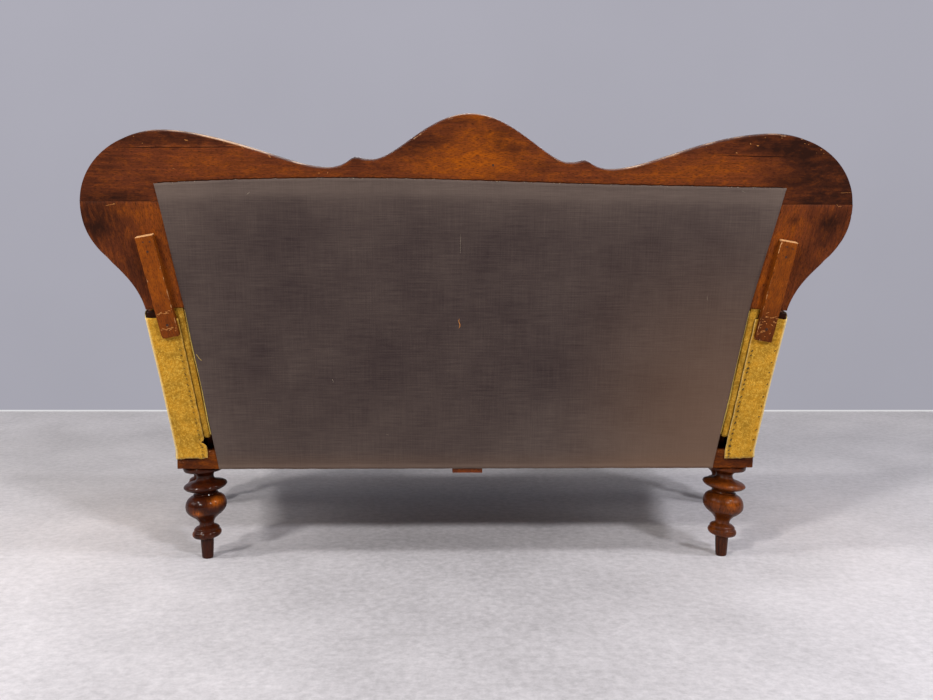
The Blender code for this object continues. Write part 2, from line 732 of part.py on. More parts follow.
def make_arms(shop, rails):
    front_post_back = Y_FRAME_FRONT + ARM_POST_DEPTH
    middle = (POST_INNER + POST_OUTER) / 2
    posts = {}
    for side, word in SIDES:
        foot = SIDE_RAIL_TOP + CLEARANCE
        section = [
            (POST_INNER, foot), (POST_OUTER, foot), (POST_OUTER, ARM_TOP), (POST_INNER, ARM_TOP)
        ]
        rear = shop.arm_solid(
            f"arm_rear_post_{word}", section, rear_y,
            lambda z: rear_y(z, ARM_POST_DEPTH), side, shop.wood,
        )
        front = shop.arm_solid(
            f"arm_front_post_{word}", section, lambda z: front_post_back,
            lambda z: Y_FRAME_FRONT, side, shop.wood,
        )
        posts[side] = rear
        for post, y, place in (
            (rear, rear_y(foot, ARM_POST_DEPTH / 2), "rear"),
            (front, Y_FRAME_FRONT + ARM_POST_DEPTH / 2, "front"),
        ):
            at = arm_point(middle, y, foot)
            tenon(
                shop, f"{place}_post_{word}", post, rails[side],
                (TENON_SHARE * ARM_POST_WIDTH, TENON_BOARD), (side * at.x, at.y, at.z), 2, -1,
            )
        bar_foot = ARM_TOP - ARM_RAIL_HEIGHT
        bar = [
            (POST_INNER, bar_foot), (POST_OUTER, bar_foot), (POST_OUTER, ARM_TOP), (POST_INNER, ARM_TOP)
        ]
        rail = shop.arm_solid(
            f"arm_top_rail_{word}", bar,
            lambda z: rear_y(z, ARM_POST_DEPTH + CLEARANCE),
            lambda z: front_post_back + CLEARANCE, side, shop.wood,
        )
        for grow, use in ((0.0, "tenon"), (CLEARANCE, "mortise")):
            low = ARM_TOP - ARM_RAIL_HEIGHT / 2 - TENON_BOARD / 2 - grow
            high = low + TENON_BOARD + 2 * grow
            wide = TENON_SHARE * ARM_POST_WIDTH / 2 + grow
            tongue = [
                (middle - wide, low), (middle + wide, low), (middle + wide, high), (middle - wide, high)
            ]
            reach = ARM_POST_DEPTH - TENON_LENGTH - grow
            bar_tongue = shop.arm_solid(
                f"arm_rail_{use}_{word}", tongue, lambda z: rear_y(z, reach),
                lambda z: Y_FRAME_FRONT + reach, side,
            )
            if use == "tenon":
                join(rail, bar_tongue)
            else:
                cut(rear, bar_tongue)
                cut(front, bar_tongue)
        make_arm_facing(shop, side, word)
        make_arm_padding(shop, side, word)
    return posts


def make_arm_facing(shop, side, word):
    """The scrolled show-wood board on the front of an arm."""
    low = FRAME_BOTTOM
    scroll = (POST_INNER + POST_OUTER - ROLL_INSIDE) / 2
    radius = POST_OUTER + SCROLL_LIP - scroll
    inner = scroll - radius
    outline = [(SIDE_RAIL_INNER, low), (SIDE_RAIL_OUTER, low)]
    outline += ellipse((scroll, ARM_TOP), (radius, SCROLL_HEIGHT), 0, pi, 12)
    neck = POST_INNER - FACING_NECK
    neck_top = ARM_TOP - SCROLL_FALL
    turn = ARM_TOP - 0.42 * SCROLL_FALL
    knee = SIDE_RAIL_TOP + FACING_FLARE
    outline += bezier(
        (inner, ARM_TOP), (inner, turn), (neck, turn), (neck, neck_top), 6
    )
    outline += bezier(
        (neck, neck_top), (neck, knee), (SIDE_RAIL_INNER, knee), (SIDE_RAIL_INNER, SIDE_RAIL_TOP), 6
    )
    outline.append((SIDE_RAIL_INNER, SIDE_RAIL_TOP))
    shop.arm_solid(
        f"arm_facing_{word}", outline, lambda z: Y_FRAME_FRONT - CLEARANCE, lambda z: Y_FRONT,
        side, shop.show_wood,
    )


def make_arm_padding(shop, side, word):
    """Hessian, stuffing and velvet of one arm."""
    sheet = [
        (POST_INNER - CLEARANCE - HESSIAN, ARM_PAD_FOOT), (POST_INNER - CLEARANCE, ARM_PAD_FOOT),
        (POST_INNER - CLEARANCE, ARM_TOP), (POST_INNER - CLEARANCE - HESSIAN, ARM_TOP),
    ]
    shop.arm_solid(
        f"arm_hessian_{word}", sheet, lambda z: rear_y(z, CLEARANCE),
        lambda z: Y_FRAME_FRONT, side, shop.jute,
    )
    roll_base = ARM_TOP + CLEARANCE
    roll_inner = POST_INNER - ROLL_INSIDE
    roll_middle = (roll_inner + POST_OUTER) / 2
    bulge = ARM_PAD_FOOT + ARM_PAD_BULGE
    path = bezier(
        (ARM_PAD_WALL, ARM_PAD_FOOT), (ARM_PAD_WALL - 0.6 * ARM_PAD, ARM_PAD_FOOT),
        (ARM_PAD_FACE, ARM_PAD_FOOT + 0.45 * ARM_PAD_BULGE), (ARM_PAD_FACE, bulge), 4,
    )
    path += bezier(
        (ARM_PAD_FACE, bulge), (ARM_PAD_FACE, bulge + 0.35 * (roll_base - bulge)),
        (roll_inner, roll_base - 0.35 * (roll_base - bulge)), (roll_inner, roll_base), 5,
    )
    path += ellipse((roll_middle, roll_base), (roll_middle - roll_inner, ROLL_HEIGHT), pi, 0, 10)
    path.append((POST_OUTER, roll_base))
    pad = shop.arm_solid(
        f"arm_stuffing_{word}", path + [(ARM_PAD_WALL, roll_base)],
        lambda z: rear_y(z, ARM_END), lambda z: Y_FRAME_FRONT + SOFT_GAP, side, shop.horsehair,
    )
    pad.data.shade_smooth()
    pad.data.set_sharp_from_angle(angle=radians(50))
    skin = offset_path(path, COVER) + list(reversed(offset_path(path, CLEARANCE)))
    velvet = shop.arm_solid(
        f"arm_cover_{word}", skin,
        lambda z: rear_y(z, ARM_END), lambda z: Y_FRAME_FRONT + SOFT_GAP, side, shop.velvet,
    )
    velvet.data.shade_smooth()
    velvet.data.set_sharp_from_angle(angle=radians(50))
    tail_inner = STILE_EDGE + TAIL_INSET
    tail_outer = POST_INNER - 2 * CLEARANCE - HESSIAN
    tail_low = FRAME_BOTTOM + TAIL_FOOT
    round_end = (tail_outer - tail_inner) / 2
    tail = [(tail_outer, TAIL_TOP), (tail_inner, TAIL_TOP)]
    tail += ellipse((tail_inner + round_end, tail_low + round_end), (round_end, round_end), pi, 2 * pi, 6)
    tail.append((tail_outer, tail_low + round_end))
    shop.arm_solid(
        f"arm_cover_tail_{word}", tail, lambda z: rear_y(z, TAIL_RECESS),
        lambda z: rear_y(z, ARM_END - CLEARANCE), side, shop.velvet,
    )


def make_battens(shop, stiles, posts):
    """Outside arm velvet, and the screwed battens that it is cut away under."""
    lean = (arm_x_on_back(0, CREST_JOINT) - arm_x_on_back(0, WING_FOOT)) / (CREST_JOINT - WING_FOOT)
    tilt = atan2(lean, 1) + BATTEN_LEAN
    low = WING_FOOT - BATTEN_LAP
    centre_s = low + BATTEN_LENGTH / 2 * cos(tilt)
    centre_x = arm_x_on_back((POST_INNER + POST_OUTER) / 2 - BATTEN_INSET, centre_s)
    for side, word in SIDES:
        outside = make_outside_cover(shop, side, word)
        place = (side * centre_x, centre_s, -CLEARANCE - BATTEN_BOARD / 2)
        size = (BATTEN_WIDTH, BATTEN_LENGTH, BATTEN_BOARD)
        batten = shop.box(
            f"back_batten_{word}", size, place, shop.batten, shop.back, -side * tilt
        )
        edge = batten.modifiers.new("Eased edges", "BEVEL")
        edge.width = BATTEN_EDGE
        edge.segments = 1
        room = (size[0] + 2 * BATTEN_ROOM, size[1] + 2 * CLEARANCE, size[2] + 2 * CLEARANCE)
        cut(outside, shop.box(f"batten_room_{word}", room, place, None, shop.back, -side * tilt))
        for along, into, name in (
            (SCREW_FOOT_INSET - BATTEN_LENGTH / 2, posts[side], "lower"),
            (BATTEN_LENGTH / 2 - SCREW_HEAD_INSET, stiles[side], "upper"),
        ):
            spot = (
                side * (centre_x + along * sin(tilt)), centre_s + along * cos(tilt),
                -CLEARANCE - BATTEN_BOARD,
            )
            screw = shop.add(
                f"batten_screw_{name}_{word}", shop.turned(screw_profile(0), 10), shop.steel, shop.back
            )
            screw.location = spot
            screw.rotation_euler = (pi, 0, 0)
            hole = shop.add(
                f"batten_hole_{name}_{word}", shop.turned(screw_profile(CLEARANCE), 10), None, shop.back
            )
            hole.location = spot
            hole.rotation_euler = (pi, 0, 0)
            cut(batten, hole)
            cut(into, hole)


def screw_profile(grow):
    """A countersunk screw with its head on z = 0, or the hole that it goes in."""
    head = SCREW_HEAD_RADIUS + grow
    shank = SCREW_SHANK_RADIUS + grow
    tip = -SCREW_LENGTH - grow
    above = 0.004 if grow else -CLEARANCE
    return [
        (0, above), (head, above), (head, -CLEARANCE - grow), (shank, -SCREW_HEAD_DEPTH - grow),
        (shank, tip + 0.006), (0, tip),
    ]


def make_outside_cover(shop, side, word):
    """The outside velvet panel of an arm and its return on the post's rear face."""
    inner = POST_OUTER + CLEARANCE
    outer = inner + VELVET
    foot = SIDE_RAIL_TOP + 2 * CLEARANCE
    top = ARM_TOP - CLEARANCE
    panel = [(inner, foot), (outer, foot), (outer, top), (inner, top)]
    made = shop.arm_solid(
        f"outside_arm_cover_{word}", panel, lambda z: rear_y(z, -0.9 * COVER),
        lambda z: Y_FRAME_FRONT, side, shop.velvet,
    )
    edge = POST_INNER + RETURN_INSET
    low = SIDE_RAIL_TOP - OUTSIDE_COVER_DROP
    side_edge = inner + 0.8 * VELVET
    return_top = ARM_TOP - RETURN_FALL
    lapped = [
        (edge, low), (side_edge, low), (side_edge, SIDE_RAIL_TOP), (side_edge, return_top),
        (edge, return_top), (edge, SIDE_RAIL_TOP),
    ]
    join(made, shop.arm_solid(
        f"outside_return_{word}", lapped, lambda z: rear_y(z, -COVER),
        lambda z: rear_y(z, -CLEARANCE), side,
    ))
    return made


def make_back_cloth(shop):
    knee = WING_FOOT - CLOTH_KNEE
    corner = arm_x_on_back(STILE_EDGE, CLOTH_TOP) + CLOTH_SPREAD
    arch = CLOTH_TOP + CLOTH_ARCH
    edge = [
        (SIDE_RAIL_INNER, CLOTH_HEM),
        (arm_x_on_back(STILE_EDGE, knee) + CLOTH_LAP, knee),
    ]
    edge += bezier(
        (corner, CLOTH_TOP), (0.6 * corner, arch), (0.3 * corner, arch), (0, arch), 6
    )
    edge.append((0, arch))
    shop.back_board("back_cloth", mirrored(edge), -CLEARANCE - BACK_CLOTH, BACK_CLOTH, shop.cloth)


def strap_net(shop, name, across, along, place, parent=None):
    """Webbing straps in one plane: the places of the straps each way, and a map to the plane."""
    half = WEB_WIDTH / 2
    columns = sorted([across[0], across[-1]] + [x + e for x in across[1:-1] for e in (-half, half)])
    rows = sorted([along[0], along[-1]] + [y + e for y in along[1:-1] for e in (-half, half)])
    shell = bmesh.new()
    bmesh.ops.create_grid(shell, x_segments=len(columns) - 1, y_segments=len(rows) - 1, size=0.5)
    gaps = []
    for face in shell.faces:
        middle = face.calc_center_median() + Vector((0.5, 0.5, 0))
        column = int(middle.x * (len(columns) - 1))
        row = int(middle.y * (len(rows) - 1))
        if column % 2 == 0 and row % 2 == 0:
            gaps.append(face)
    bmesh.ops.delete(shell, geom=gaps, context="FACES")
    for vertex in shell.verts:
        column = round((vertex.co.x + 0.5) * (len(columns) - 1))
        row = round((vertex.co.y + 0.5) * (len(rows) - 1))
        vertex.co = place(columns[column], rows[row])
    mesh = bpy.data.meshes.new(name)
    shell.to_mesh(mesh)
    shell.free()
    made = shop.add(name, mesh, shop.jute, parent)
    thick = made.modifiers.new("Strap", "SOLIDIFY")
    thick.thickness = WEB
    thick.offset = 1
    return made


def make_seat(shop):
    seat_front = Y_FRAME_FRONT + STRAP_INSET
    seat_rear = Y_BACK - BOARD + STRAP_INSET
    edge = SIDE_RAIL_INNER + STRAP_LAP

    def strap_place(x, y):
        return Vector((x * flare_x(edge, y) / edge, y, FRAME_BOTTOM - CLEARANCE - WEB))

    across = [-edge, *SPRING_COLUMNS, edge]
    along = [seat_front, SPRING_ROWS[1], sum(SPRING_ROWS) / 2, SPRING_ROWS[0], seat_rear]
    strap_net(shop, "seat_webbing", across, along, strap_place)
    make_springs(shop, strap_place)
    hessian_rear = rear_y(DECK, BOARD) - 2 * CLEARANCE
    rear_half = flare_x(SIDE_RAIL_INNER + STILE_SETBACK, hessian_rear)
    front_half = flare_x(SIDE_RAIL_INNER + STILE_SETBACK, seat_front)
    hessian = shop.add(
        "seat_hessian",
        shop.solid(
            [(front_half, seat_front), (rear_half, hessian_rear),
             (-rear_half, hessian_rear), (-front_half, seat_front)],
            HESSIAN,
        ),
        shop.jute,
    )
    hessian.location.z = DECK + CLEARANCE
    pad_foot = FRAME_BOTTOM + TACK_RAIL_FOOT * cos(RAKE)
    pad_rear = rear_y(pad_foot, BACK_PAD_FRONT + COVER) - COVER - SEAT_REAR_GAP
    pad_front = Y_FRAME_FRONT - SEAT_OVERHANG
    pad_side = ARM_PAD_FACE - 2 * COVER - SOFT_GAP

    def seat_place(u, v, w):
        """A cube's point carried to the crowned seat, drawn in at its edges."""
        level = (w + 1) / 2
        swell = 1 - 0.5 * (w * w)
        y = pad_front + (pad_rear - pad_front) * (v * (0.992 + 0.008 * swell) + 1) / 2
        half = flare_x(pad_side, y) * (0.985 + 0.010 * swell)
        crown = SEAT_CROWN * (1 - u ** 4) * (1 - v ** 4)
        return Vector((u * half, y, SEAT_BASE + level * (SEAT_EDGE + crown)))

    pad = pillow(shop, "seat_stuffing", 6, seat_place)
    shop.cover("seat_cover", pad, lambda face: face.normal.z > -0.7)


def pillow(shop, name, cuts, place):
    """A stuffed form: a finely divided cube whose points a rule carries into place."""
    shell = bmesh.new()
    bmesh.ops.create_cube(shell, size=2)
    bmesh.ops.subdivide_edges(shell, edges=shell.edges, cuts=cuts, use_grid_fill=True)
    for vertex in shell.verts:
        vertex.co = place(*vertex.co)
    mesh = bpy.data.meshes.new(name)
    shell.to_mesh(mesh)
    shell.free()
    mesh.shade_smooth()
    mesh.set_sharp_from_angle(angle=radians(60))
    return shop.add(name, mesh, shop.horsehair)


def make_springs(shop, strap_place):
    """Waisted coil springs between the webbing and the hessian."""
    wire = SPRING_WIRE / 2
    low = FRAME_BOTTOM + wire
    high = DECK - wire
    least = SPRING_END_RADIUS
    count = SPRING_TURNS * SPRING_STEPS
    number = 0
    for y in SPRING_ROWS:
        for x in SPRING_COLUMNS:
            number += 1
            centre = strap_place(x, y)
            curve = bpy.data.curves.new(f"seat_spring_{number}", "CURVE")
            curve.dimensions = "3D"
            curve.bevel_depth = wire
            curve.bevel_resolution = 0
            curve.use_fill_caps = True
            spline = curve.splines.new("POLY")
            spline.points.add(count)
            path = []
            for step, point in enumerate(spline.points):
                t = step / count
                angle = 2 * pi * SPRING_TURNS * t
                waist = (2 * t - 1) ** 2
                radius = SPRING_WAIST_RADIUS + (SPRING_END_RADIUS - SPRING_WAIST_RADIUS) * waist
                place = Vector((radius * cos(angle), radius * sin(angle), low + (high - low) * t))
                path.append(place)
                point.co = (*place, 1)
            for step, place in enumerate(path):
                for later in path[step + SPRING_STEPS // 2:]:
                    least = min(least, (place - later).length - SPRING_WIRE)
            spring = bpy.data.objects.new(f"seat_spring_{number}", curve)
            spring.location = (centre.x, centre.y, 0)
            curve.materials.append(shop.steel)
            shop.parts.objects.link(spring)
    print(f"least gap between a spring's turns: {least * 1000:.1f} mm")


def make_back_padding(shop):
    web_top = VALLEY - FACING_WIDTH - STRAP_INSET
    reach = arm_x_on_back(STILE_EDGE, TACK_RAIL_FOOT) - 0.6 * STILE_WIDTH
    lean = tan(LEAN) * 0.8

    def strap_place(x, s):
        return Vector((x * (1 + lean * (s - TACK_RAIL_FOOT) / reach), s, WEB_BASE))

    across = [-reach, -0.42, -0.25, -0.08, 0.08, 0.25, 0.42, reach]
    span = web_top - TACK_RAIL_FOOT
    along = [
        TACK_RAIL_FOOT + 2 * STRAP_INSET,
        TACK_RAIL_FOOT + 0.36 * span,
        TACK_RAIL_FOOT + 0.68 * span,
        web_top,
    ]
    strap_net(shop, "back_webbing", across, along, strap_place, shop.back)
    sheet = [
        tuple(strap_place(reach - 2 * STRAP_INSET, TACK_RAIL_FOOT + STRAP_INSET))[:2],
        tuple(strap_place(reach - 2 * STRAP_INSET, web_top))[:2],
    ]
    shop.back_board("back_hessian", mirrored(sheet), BACK_HESSIAN_BASE, HESSIAN, shop.jute)

    stuffing = shop.add("back_stuffing", back_form(shop, 0, 0), shop.horsehair, shop.back)
    stuffing.location = (0, 0, BACK_PAD_BASE)
    velvet = shop.add("back_cover", back_form(shop, COVER, 0), shop.velvet, shop.back)
    velvet.location = (0, 0, BACK_PAD_BASE)
    room = shop.add("back_cover_room", back_form(shop, CLEARANCE, VELVET), None, shop.back)
    room.location = (0, 0, BACK_PAD_BASE - VELVET)
    cut(velvet, room)


def back_form(shop, grow, deeper):
    """The padded front of the back, grown by a layer and deepened at its rear."""
    inset = FACING_WIDTH + COVER + SOFT_GAP - grow
    foot = TACK_RAIL_FOOT - grow
    lobe_foot = back_s(ARM_TOP + ROLL_HEIGHT + COVER, ARM_END) + COVER + 2 * SOFT_GAP - grow

    def beside_arm(s):
        return arm_x_on_back(ARM_PAD_FACE, s, ARM_END) - 2 * COVER - SOFT_GAP + grow

    edge = [(beside_arm(foot), foot), (beside_arm(lobe_foot), lobe_foot)]
    edge += wing_line(inset, lobe_foot + LOBE_LIFT)
    edge += crest_line(inset)
    mesh = shop.solid(mirrored(edge), BACK_PAD + grow + deeper)
    radius = BACK_PAD_ROUND + grow
    shell = bmesh.new()
    shell.from_mesh(mesh)
    front = bmesh.ops.dissolve_faces(
        shell, faces=[face for face in shell.faces if face.normal.z > 0.5]
    )["region"]
    for vertex in front[0].verts:
        vertex.co.z -= radius
    for step in range(3):
        first = step * pi / 6
        last = first + pi / 6
        bmesh.ops.inset_region(
            shell, faces=front, use_even_offset=True, use_boundary=True,
            thickness=radius * (cos(first) - cos(last)), depth=radius * (sin(last) - sin(first)),
        )
    shell.to_mesh(mesh)
    shell.free()
    mesh.shade_smooth()
    mesh.set_sharp_from_angle(angle=radians(60))
    return mesh


def main():
    clear_scene()
    shop = Workshop()
    rear_rail, stiles = make_back_frame(shop)
    rails = make_seat_frame(shop, rear_rail)
    make_legs(shop, rails)
    posts = make_arms(shop, rails)
    make_battens(shop, stiles, posts)
    make_back_cloth(shop)
    make_seat(shop)
    make_back_padding(shop)


if __name__ == "__main__":
    main()
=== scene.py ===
"""The looks of a rococo revival sofa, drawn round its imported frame.

Everything is in the frame's own metres. Most of the back is drawn on its raked plane:
x across, s up the plane from the seat frame's underside, n forwards from the rear face.
"""

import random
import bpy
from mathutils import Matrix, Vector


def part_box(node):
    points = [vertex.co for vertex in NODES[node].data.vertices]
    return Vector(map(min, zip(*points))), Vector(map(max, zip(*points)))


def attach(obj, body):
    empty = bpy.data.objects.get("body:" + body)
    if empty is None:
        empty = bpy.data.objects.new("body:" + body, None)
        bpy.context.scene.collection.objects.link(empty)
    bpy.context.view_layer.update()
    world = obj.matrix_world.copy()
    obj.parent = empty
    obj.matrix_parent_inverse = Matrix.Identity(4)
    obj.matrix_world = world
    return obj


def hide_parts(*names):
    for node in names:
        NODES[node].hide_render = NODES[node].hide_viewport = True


bl_info = {
    "name": "Rococo Revival Sofa",
    "version": (1, 0, 0),
    "blender": (4, 5, 0),
    "location": "View3D > Sidebar > Sofa",
    "description": "Draws the boards, turned legs, cloth, velvet and springs of a rococo revival sofa",
    "category": "Add Mesh",
}

from math import cos, exp, pi, radians, sin, sqrt, tan

import bmesh
import bpy
import numpy as np
from bpy.props import FloatProperty, FloatVectorProperty, IntProperty, PointerProperty
from mathutils import Matrix, Vector, noise

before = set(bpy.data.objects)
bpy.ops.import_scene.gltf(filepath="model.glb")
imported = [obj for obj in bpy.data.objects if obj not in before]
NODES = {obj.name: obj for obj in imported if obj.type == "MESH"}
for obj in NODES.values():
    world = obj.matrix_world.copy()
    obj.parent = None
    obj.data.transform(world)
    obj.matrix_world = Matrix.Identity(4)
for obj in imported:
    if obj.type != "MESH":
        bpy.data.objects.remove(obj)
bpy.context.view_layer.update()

# Sizes that the frame is cut to
RAKE = LEAN = FLARE = radians(10)
HALF_DEPTH = 0.37
CREST_TOP = 0.7906
FRAME_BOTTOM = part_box("rear_seat_rail")[0].z
Y_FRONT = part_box("arm_facing_left")[0].y
Y_FRAME_FRONT = Y_FRONT + 0.0223
SIDE_RAIL_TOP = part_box("side_rail_left")[1].z
SIDE_RAIL_INNER = 0.560
SIDE_RAIL_OUTER = 0.654
POST_INNER = 0.591
POST_OUTER = 0.6535
ARM_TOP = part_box("arm_top_rail_left")[1].z
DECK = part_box("front_seat_rail")[1].z
BOARD = 0.032
STILE_EDGE = 0.5665
STILE_WIDTH = 0.070
REAR_RAIL_TOP = 0.096
FACE_BAND = 0.060
TAIL_INNER = 0.571
BATTEN_LENGTH = 0.226
BATTEN_WIDTH = 0.038
BATTEN_THICK = 0.018
LEG_X = {"rear": 0.5935, "front": 0.6185}
LEG_SPLAY = 0.002
GAP = 0.0003
SIDES = ((1, "left"), (-1, "right"))

# Sizes and places of what is drawn here alone
BEAD = 0.0042
CLOTH_THICK = 0.0011
VELVET_THICK = 0.0022
SCROLL_X = (POST_INNER + POST_OUTER - 0.029) / 2
BATTEN_X = 0.6666
BATTEN_S = 0.4217
BATTEN_SLIP = 0.0035
BATTEN_FACE = -GAP - BATTEN_THICK
BATTEN_LEAN = {"left": radians(10.9), "right": radians(9.9)}
LEG_TILT = {"rear_leg_left": 0.105, "rear_leg_right": 0.135}
BAR_WEAR = 0.35


def linear(code):
    """A hex sRGB colour as linear red, green and blue."""
    values = [int(code[i:i + 2], 16) / 255 for i in (1, 3, 5)]
    return tuple(v / 12.92 if v <= 0.04045 else ((v + 0.055) / 1.055) ** 2.4 for v in values)


def length_property(name, about, size):
    """A length that the sidebar shows."""
    return FloatProperty(name=name, description=about, default=size, unit="LENGTH")


def colour_property(name, about, code):
    """A colour that the sidebar shows, from its hex code."""
    return FloatVectorProperty(name=name, description=about, subtype="COLOR", default=linear(code))


class SofaOutline(bpy.types.PropertyGroup):
    """Outline of the back, on its raked plane."""

    crest_half: length_property(
        "Crest half width", "From the middle to the end of a lobe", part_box("crest_rail")[1].x)
    valley_x: length_property("Valley", "From the middle to the lowest place of the crest", 0.302)
    valley: length_property("Valley height", "Lowest place of the crest's top edge, up the back", 0.6763)
    peak_rise: length_property("Peak rise", "The middle peak above the valley", 0.1143)
    lobe_rise: length_property("Lobe rise", "The lobes above the valley", 0.0794)
    lobe_radius: length_property("Lobe radius", "Half width of a lobe's round end", 0.180)
    lobe_drop: length_property("Lobe drop", "The lobe's widest level below the valley", 0.0801)
    ear_x: length_property("Ear", "From the middle to the small ear", 0.244)
    ear_rise: length_property("Ear rise", "The ear above the valley", 0.0251)
    hump_foot_x: length_property("Hump foot", "From the middle to the foot of the peak", 0.203)
    hump_foot_rise: length_property("Hump foot rise", "The foot of the peak above the valley", 0.0174)
    joint_drop: length_property("Joint drop", "Joint of crest and stiles below the valley", 0.0691)
    wing_tuck: length_property("Wing tuck", "The wing's foot inside the lobe's end", 0.1212)
    wing_foot: length_property("Wing foot", "Foot of the wing, up the back", 0.3764)
    edge_wear: length_property("Edge wear", "How far the boards' edges are rounded", 0.0009)
    chip: length_property("Chips", "Depth of the deepest chips in an edge", 0.0032)


class SofaSoft(bpy.types.PropertyGroup):
    """Cloth, velvet, stitches and trimmings."""

    slub: length_property("Slub spacing", "Spacing of the back cloth's thick threads", 0.0024)
    cloth_sag: length_property("Cloth sag", "How far the back cloth gives between the boards", 0.004)
    nap: length_property("Nap", "Width of a tuft of pile as it shows", 0.0022)
    stitch: length_property("Stitch spacing", "Between the stitches of the arm velvet", 0.0125)
    cord: length_property("Cord radius", "Radius of the sewn cords", 0.0013)
    gimp: length_property("Gimp radius", "Radius of the gimp beside the show wood", 0.0042)
    swell: length_property("Swell", "The most that a pad's face stands out", 0.010)
    voxel: length_property("Pad mesh", "Mesh size of the pads", 0.0065)
    turned_sides: IntProperty(
        name="Turned sides", description="Sides of the turned legs", default=64, min=12)


class SofaColours(bpy.types.PropertyGroup):
    """Colours of the finishes."""

    board: colour_property("Board", "Stained board", "#6c341a")
    board_dark: colour_property("Board, dark", "Dark streaks and stains", "#28120a")
    board_light: colour_property("Board, light", "Where the stain is thin", "#974b0c")
    board_worn: colour_property("Board, worn", "Bare wood at edges and chips", "#c89a74")
    mahogany: colour_property("Mahogany", "Polished show wood", "#44200f")
    mahogany_dark: colour_property("Mahogany, dark", "Its dark grain", "#1c0b06")
    mahogany_light: colour_property("Mahogany, light", "Where the polish has rubbed through", "#8a4618")
    velvet: colour_property("Velvet", "Gold cotton velvet", "#c2891e")
    velvet_light: colour_property("Velvet, light", "Pile brushed towards the eye", "#e2b850")
    velvet_shade: colour_property("Velvet, shade", "Crushed and soiled pile", "#8f6714")
    cloth: colour_property("Back cloth", "Taupe back cloth", "#433835")
    cloth_light: colour_property("Back cloth, faded", "Its faded parts", "#685a52")
    thread: colour_property("Thread", "Frayed ends and sewing thread", "#b6a892")
    jute: colour_property("Jute", "Webbing and hessian", "#9a7d55")
    floor: colour_property("Floor", "Floor", "#c2bec2")
    wall: colour_property("Wall", "Backdrop", "#aeadb8")


# Points on the frame

Y_BACK = HALF_DEPTH - CREST_TOP * sin(RAKE)


def on_back(x, s, n=0.0):
    """A point of the raked back in the frame's metres."""
    return Vector((
        x, Y_BACK + s * sin(RAKE) - n * cos(RAKE), FRAME_BOTTOM + s * cos(RAKE) + n * sin(RAKE)
    ))


def rear_y(z, n=0.0):
    """Where the raked plane lies at a height, n forwards from the back's rear face."""
    return Y_BACK + (z - FRAME_BOTTOM) * tan(RAKE) - n / cos(RAKE)


def arm_point(x, y, z):
    """A point of an arm, which flares forwards and leans outwards above the side rail."""
    return Vector((x + (Y_BACK - y) * tan(FLARE) + max(z - SIDE_RAIL_TOP, 0) * tan(LEAN), y, z))


def arm_x_on_back(x, s):
    """Where an arm's x lies on the back's plane."""
    spot = on_back(0, s)
    return arm_point(x, spot.y, spot.z).x


def on_side(side, spot):
    """A point of the left side, or its mirror image on the right."""
    return (side * spot.x, spot.y, spot.z)


def mix(a, b, t):
    return tuple(p + (q - p) * t for p, q in zip(a, b))


def smooth(low, high, value):
    """0 below low, 1 above high and an even rise between them."""
    t = min(max((value - low) / (high - low), 0), 1)
    return t * t * (3 - 2 * t)


def wobble(x, y, z=0.0):
    """Smooth noise from -1 to 1, the same on every run."""
    return noise.noise(Vector((x, y, z)))


def bezier(start, pull_start, pull_end, end, steps):
    """Points of a cubic curve from start up to, but without, its end."""
    points = []
    for step in range(steps):
        t = step / steps
        u = 1 - t
        points.append(tuple(
            u ** 3 * a + 3 * u * u * t * b + 3 * u * t * t * c + t ** 3 * d
            for a, b, c, d in zip(start, pull_start, pull_end, end)
        ))
    return points


def arc(centre, radii, first, last, steps):
    """Points of an elliptic arc from the first angle up to, but without, the last."""
    return [
        (centre[0] + radii[0] * cos(a), centre[1] + radii[1] * sin(a))
        for a in (first + (last - first) * step / steps for step in range(steps))
    ]


def mirrored(half):
    """A half outline that runs towards x = 0, and its mirror image."""
    return half + [(-x, s) for x, s in reversed(half) if x > 1e-6]


def tapered(width, ends, swell):
    """The radius along a cord or a scratch that is thinner at its ends."""
    return lambda t: width * (ends + swell * t * (1 - t))


def crest_line(o, inset=0.0):
    """Half of the crest's top edge, from the lobe's widest point to the middle."""
    lobe_x = o.crest_half - o.lobe_radius
    middle = o.valley - o.lobe_drop
    top = o.valley + o.lobe_rise - inset
    low = o.valley - inset
    peak = o.valley + o.peak_rise - inset
    span = lobe_x - o.valley_x
    line = arc((lobe_x, middle), (o.lobe_radius - inset, top - middle), 0, pi / 2, 40)
    line += bezier((lobe_x, top), (lobe_x - 0.394 * span, top), (o.valley_x + 0.253 * span, low),
                   (o.valley_x, low), 50)
    if inset:
        line += bezier((o.valley_x, low), (0.60 * o.valley_x, low), (0.30 * o.valley_x, peak),
                       (0, peak), 80)
        return line + [(0, peak)]
    ear = o.valley + o.ear_rise
    foot = o.valley + o.hump_foot_rise
    wide = o.valley_x - o.ear_x
    line += bezier((o.valley_x, low), (o.ear_x + 0.51 * wide, low),
                   (o.ear_x + 0.285 * wide, low + 0.466 * (ear - low)), (o.ear_x, ear), 16)
    wide = o.ear_x - o.hump_foot_x
    line += bezier((o.ear_x, ear), (o.ear_x - 0.27 * wide, foot + 0.06 * (ear - foot)),
                   (o.hump_foot_x + 0.40 * wide, foot), (o.hump_foot_x, foot), 16)
    line += bezier((o.hump_foot_x, foot), (0.743 * o.hump_foot_x, foot + 0.078 * (peak - foot)),
                   (0.426 * o.hump_foot_x, peak), (0, peak), 48)
    return line + [(0, peak)]


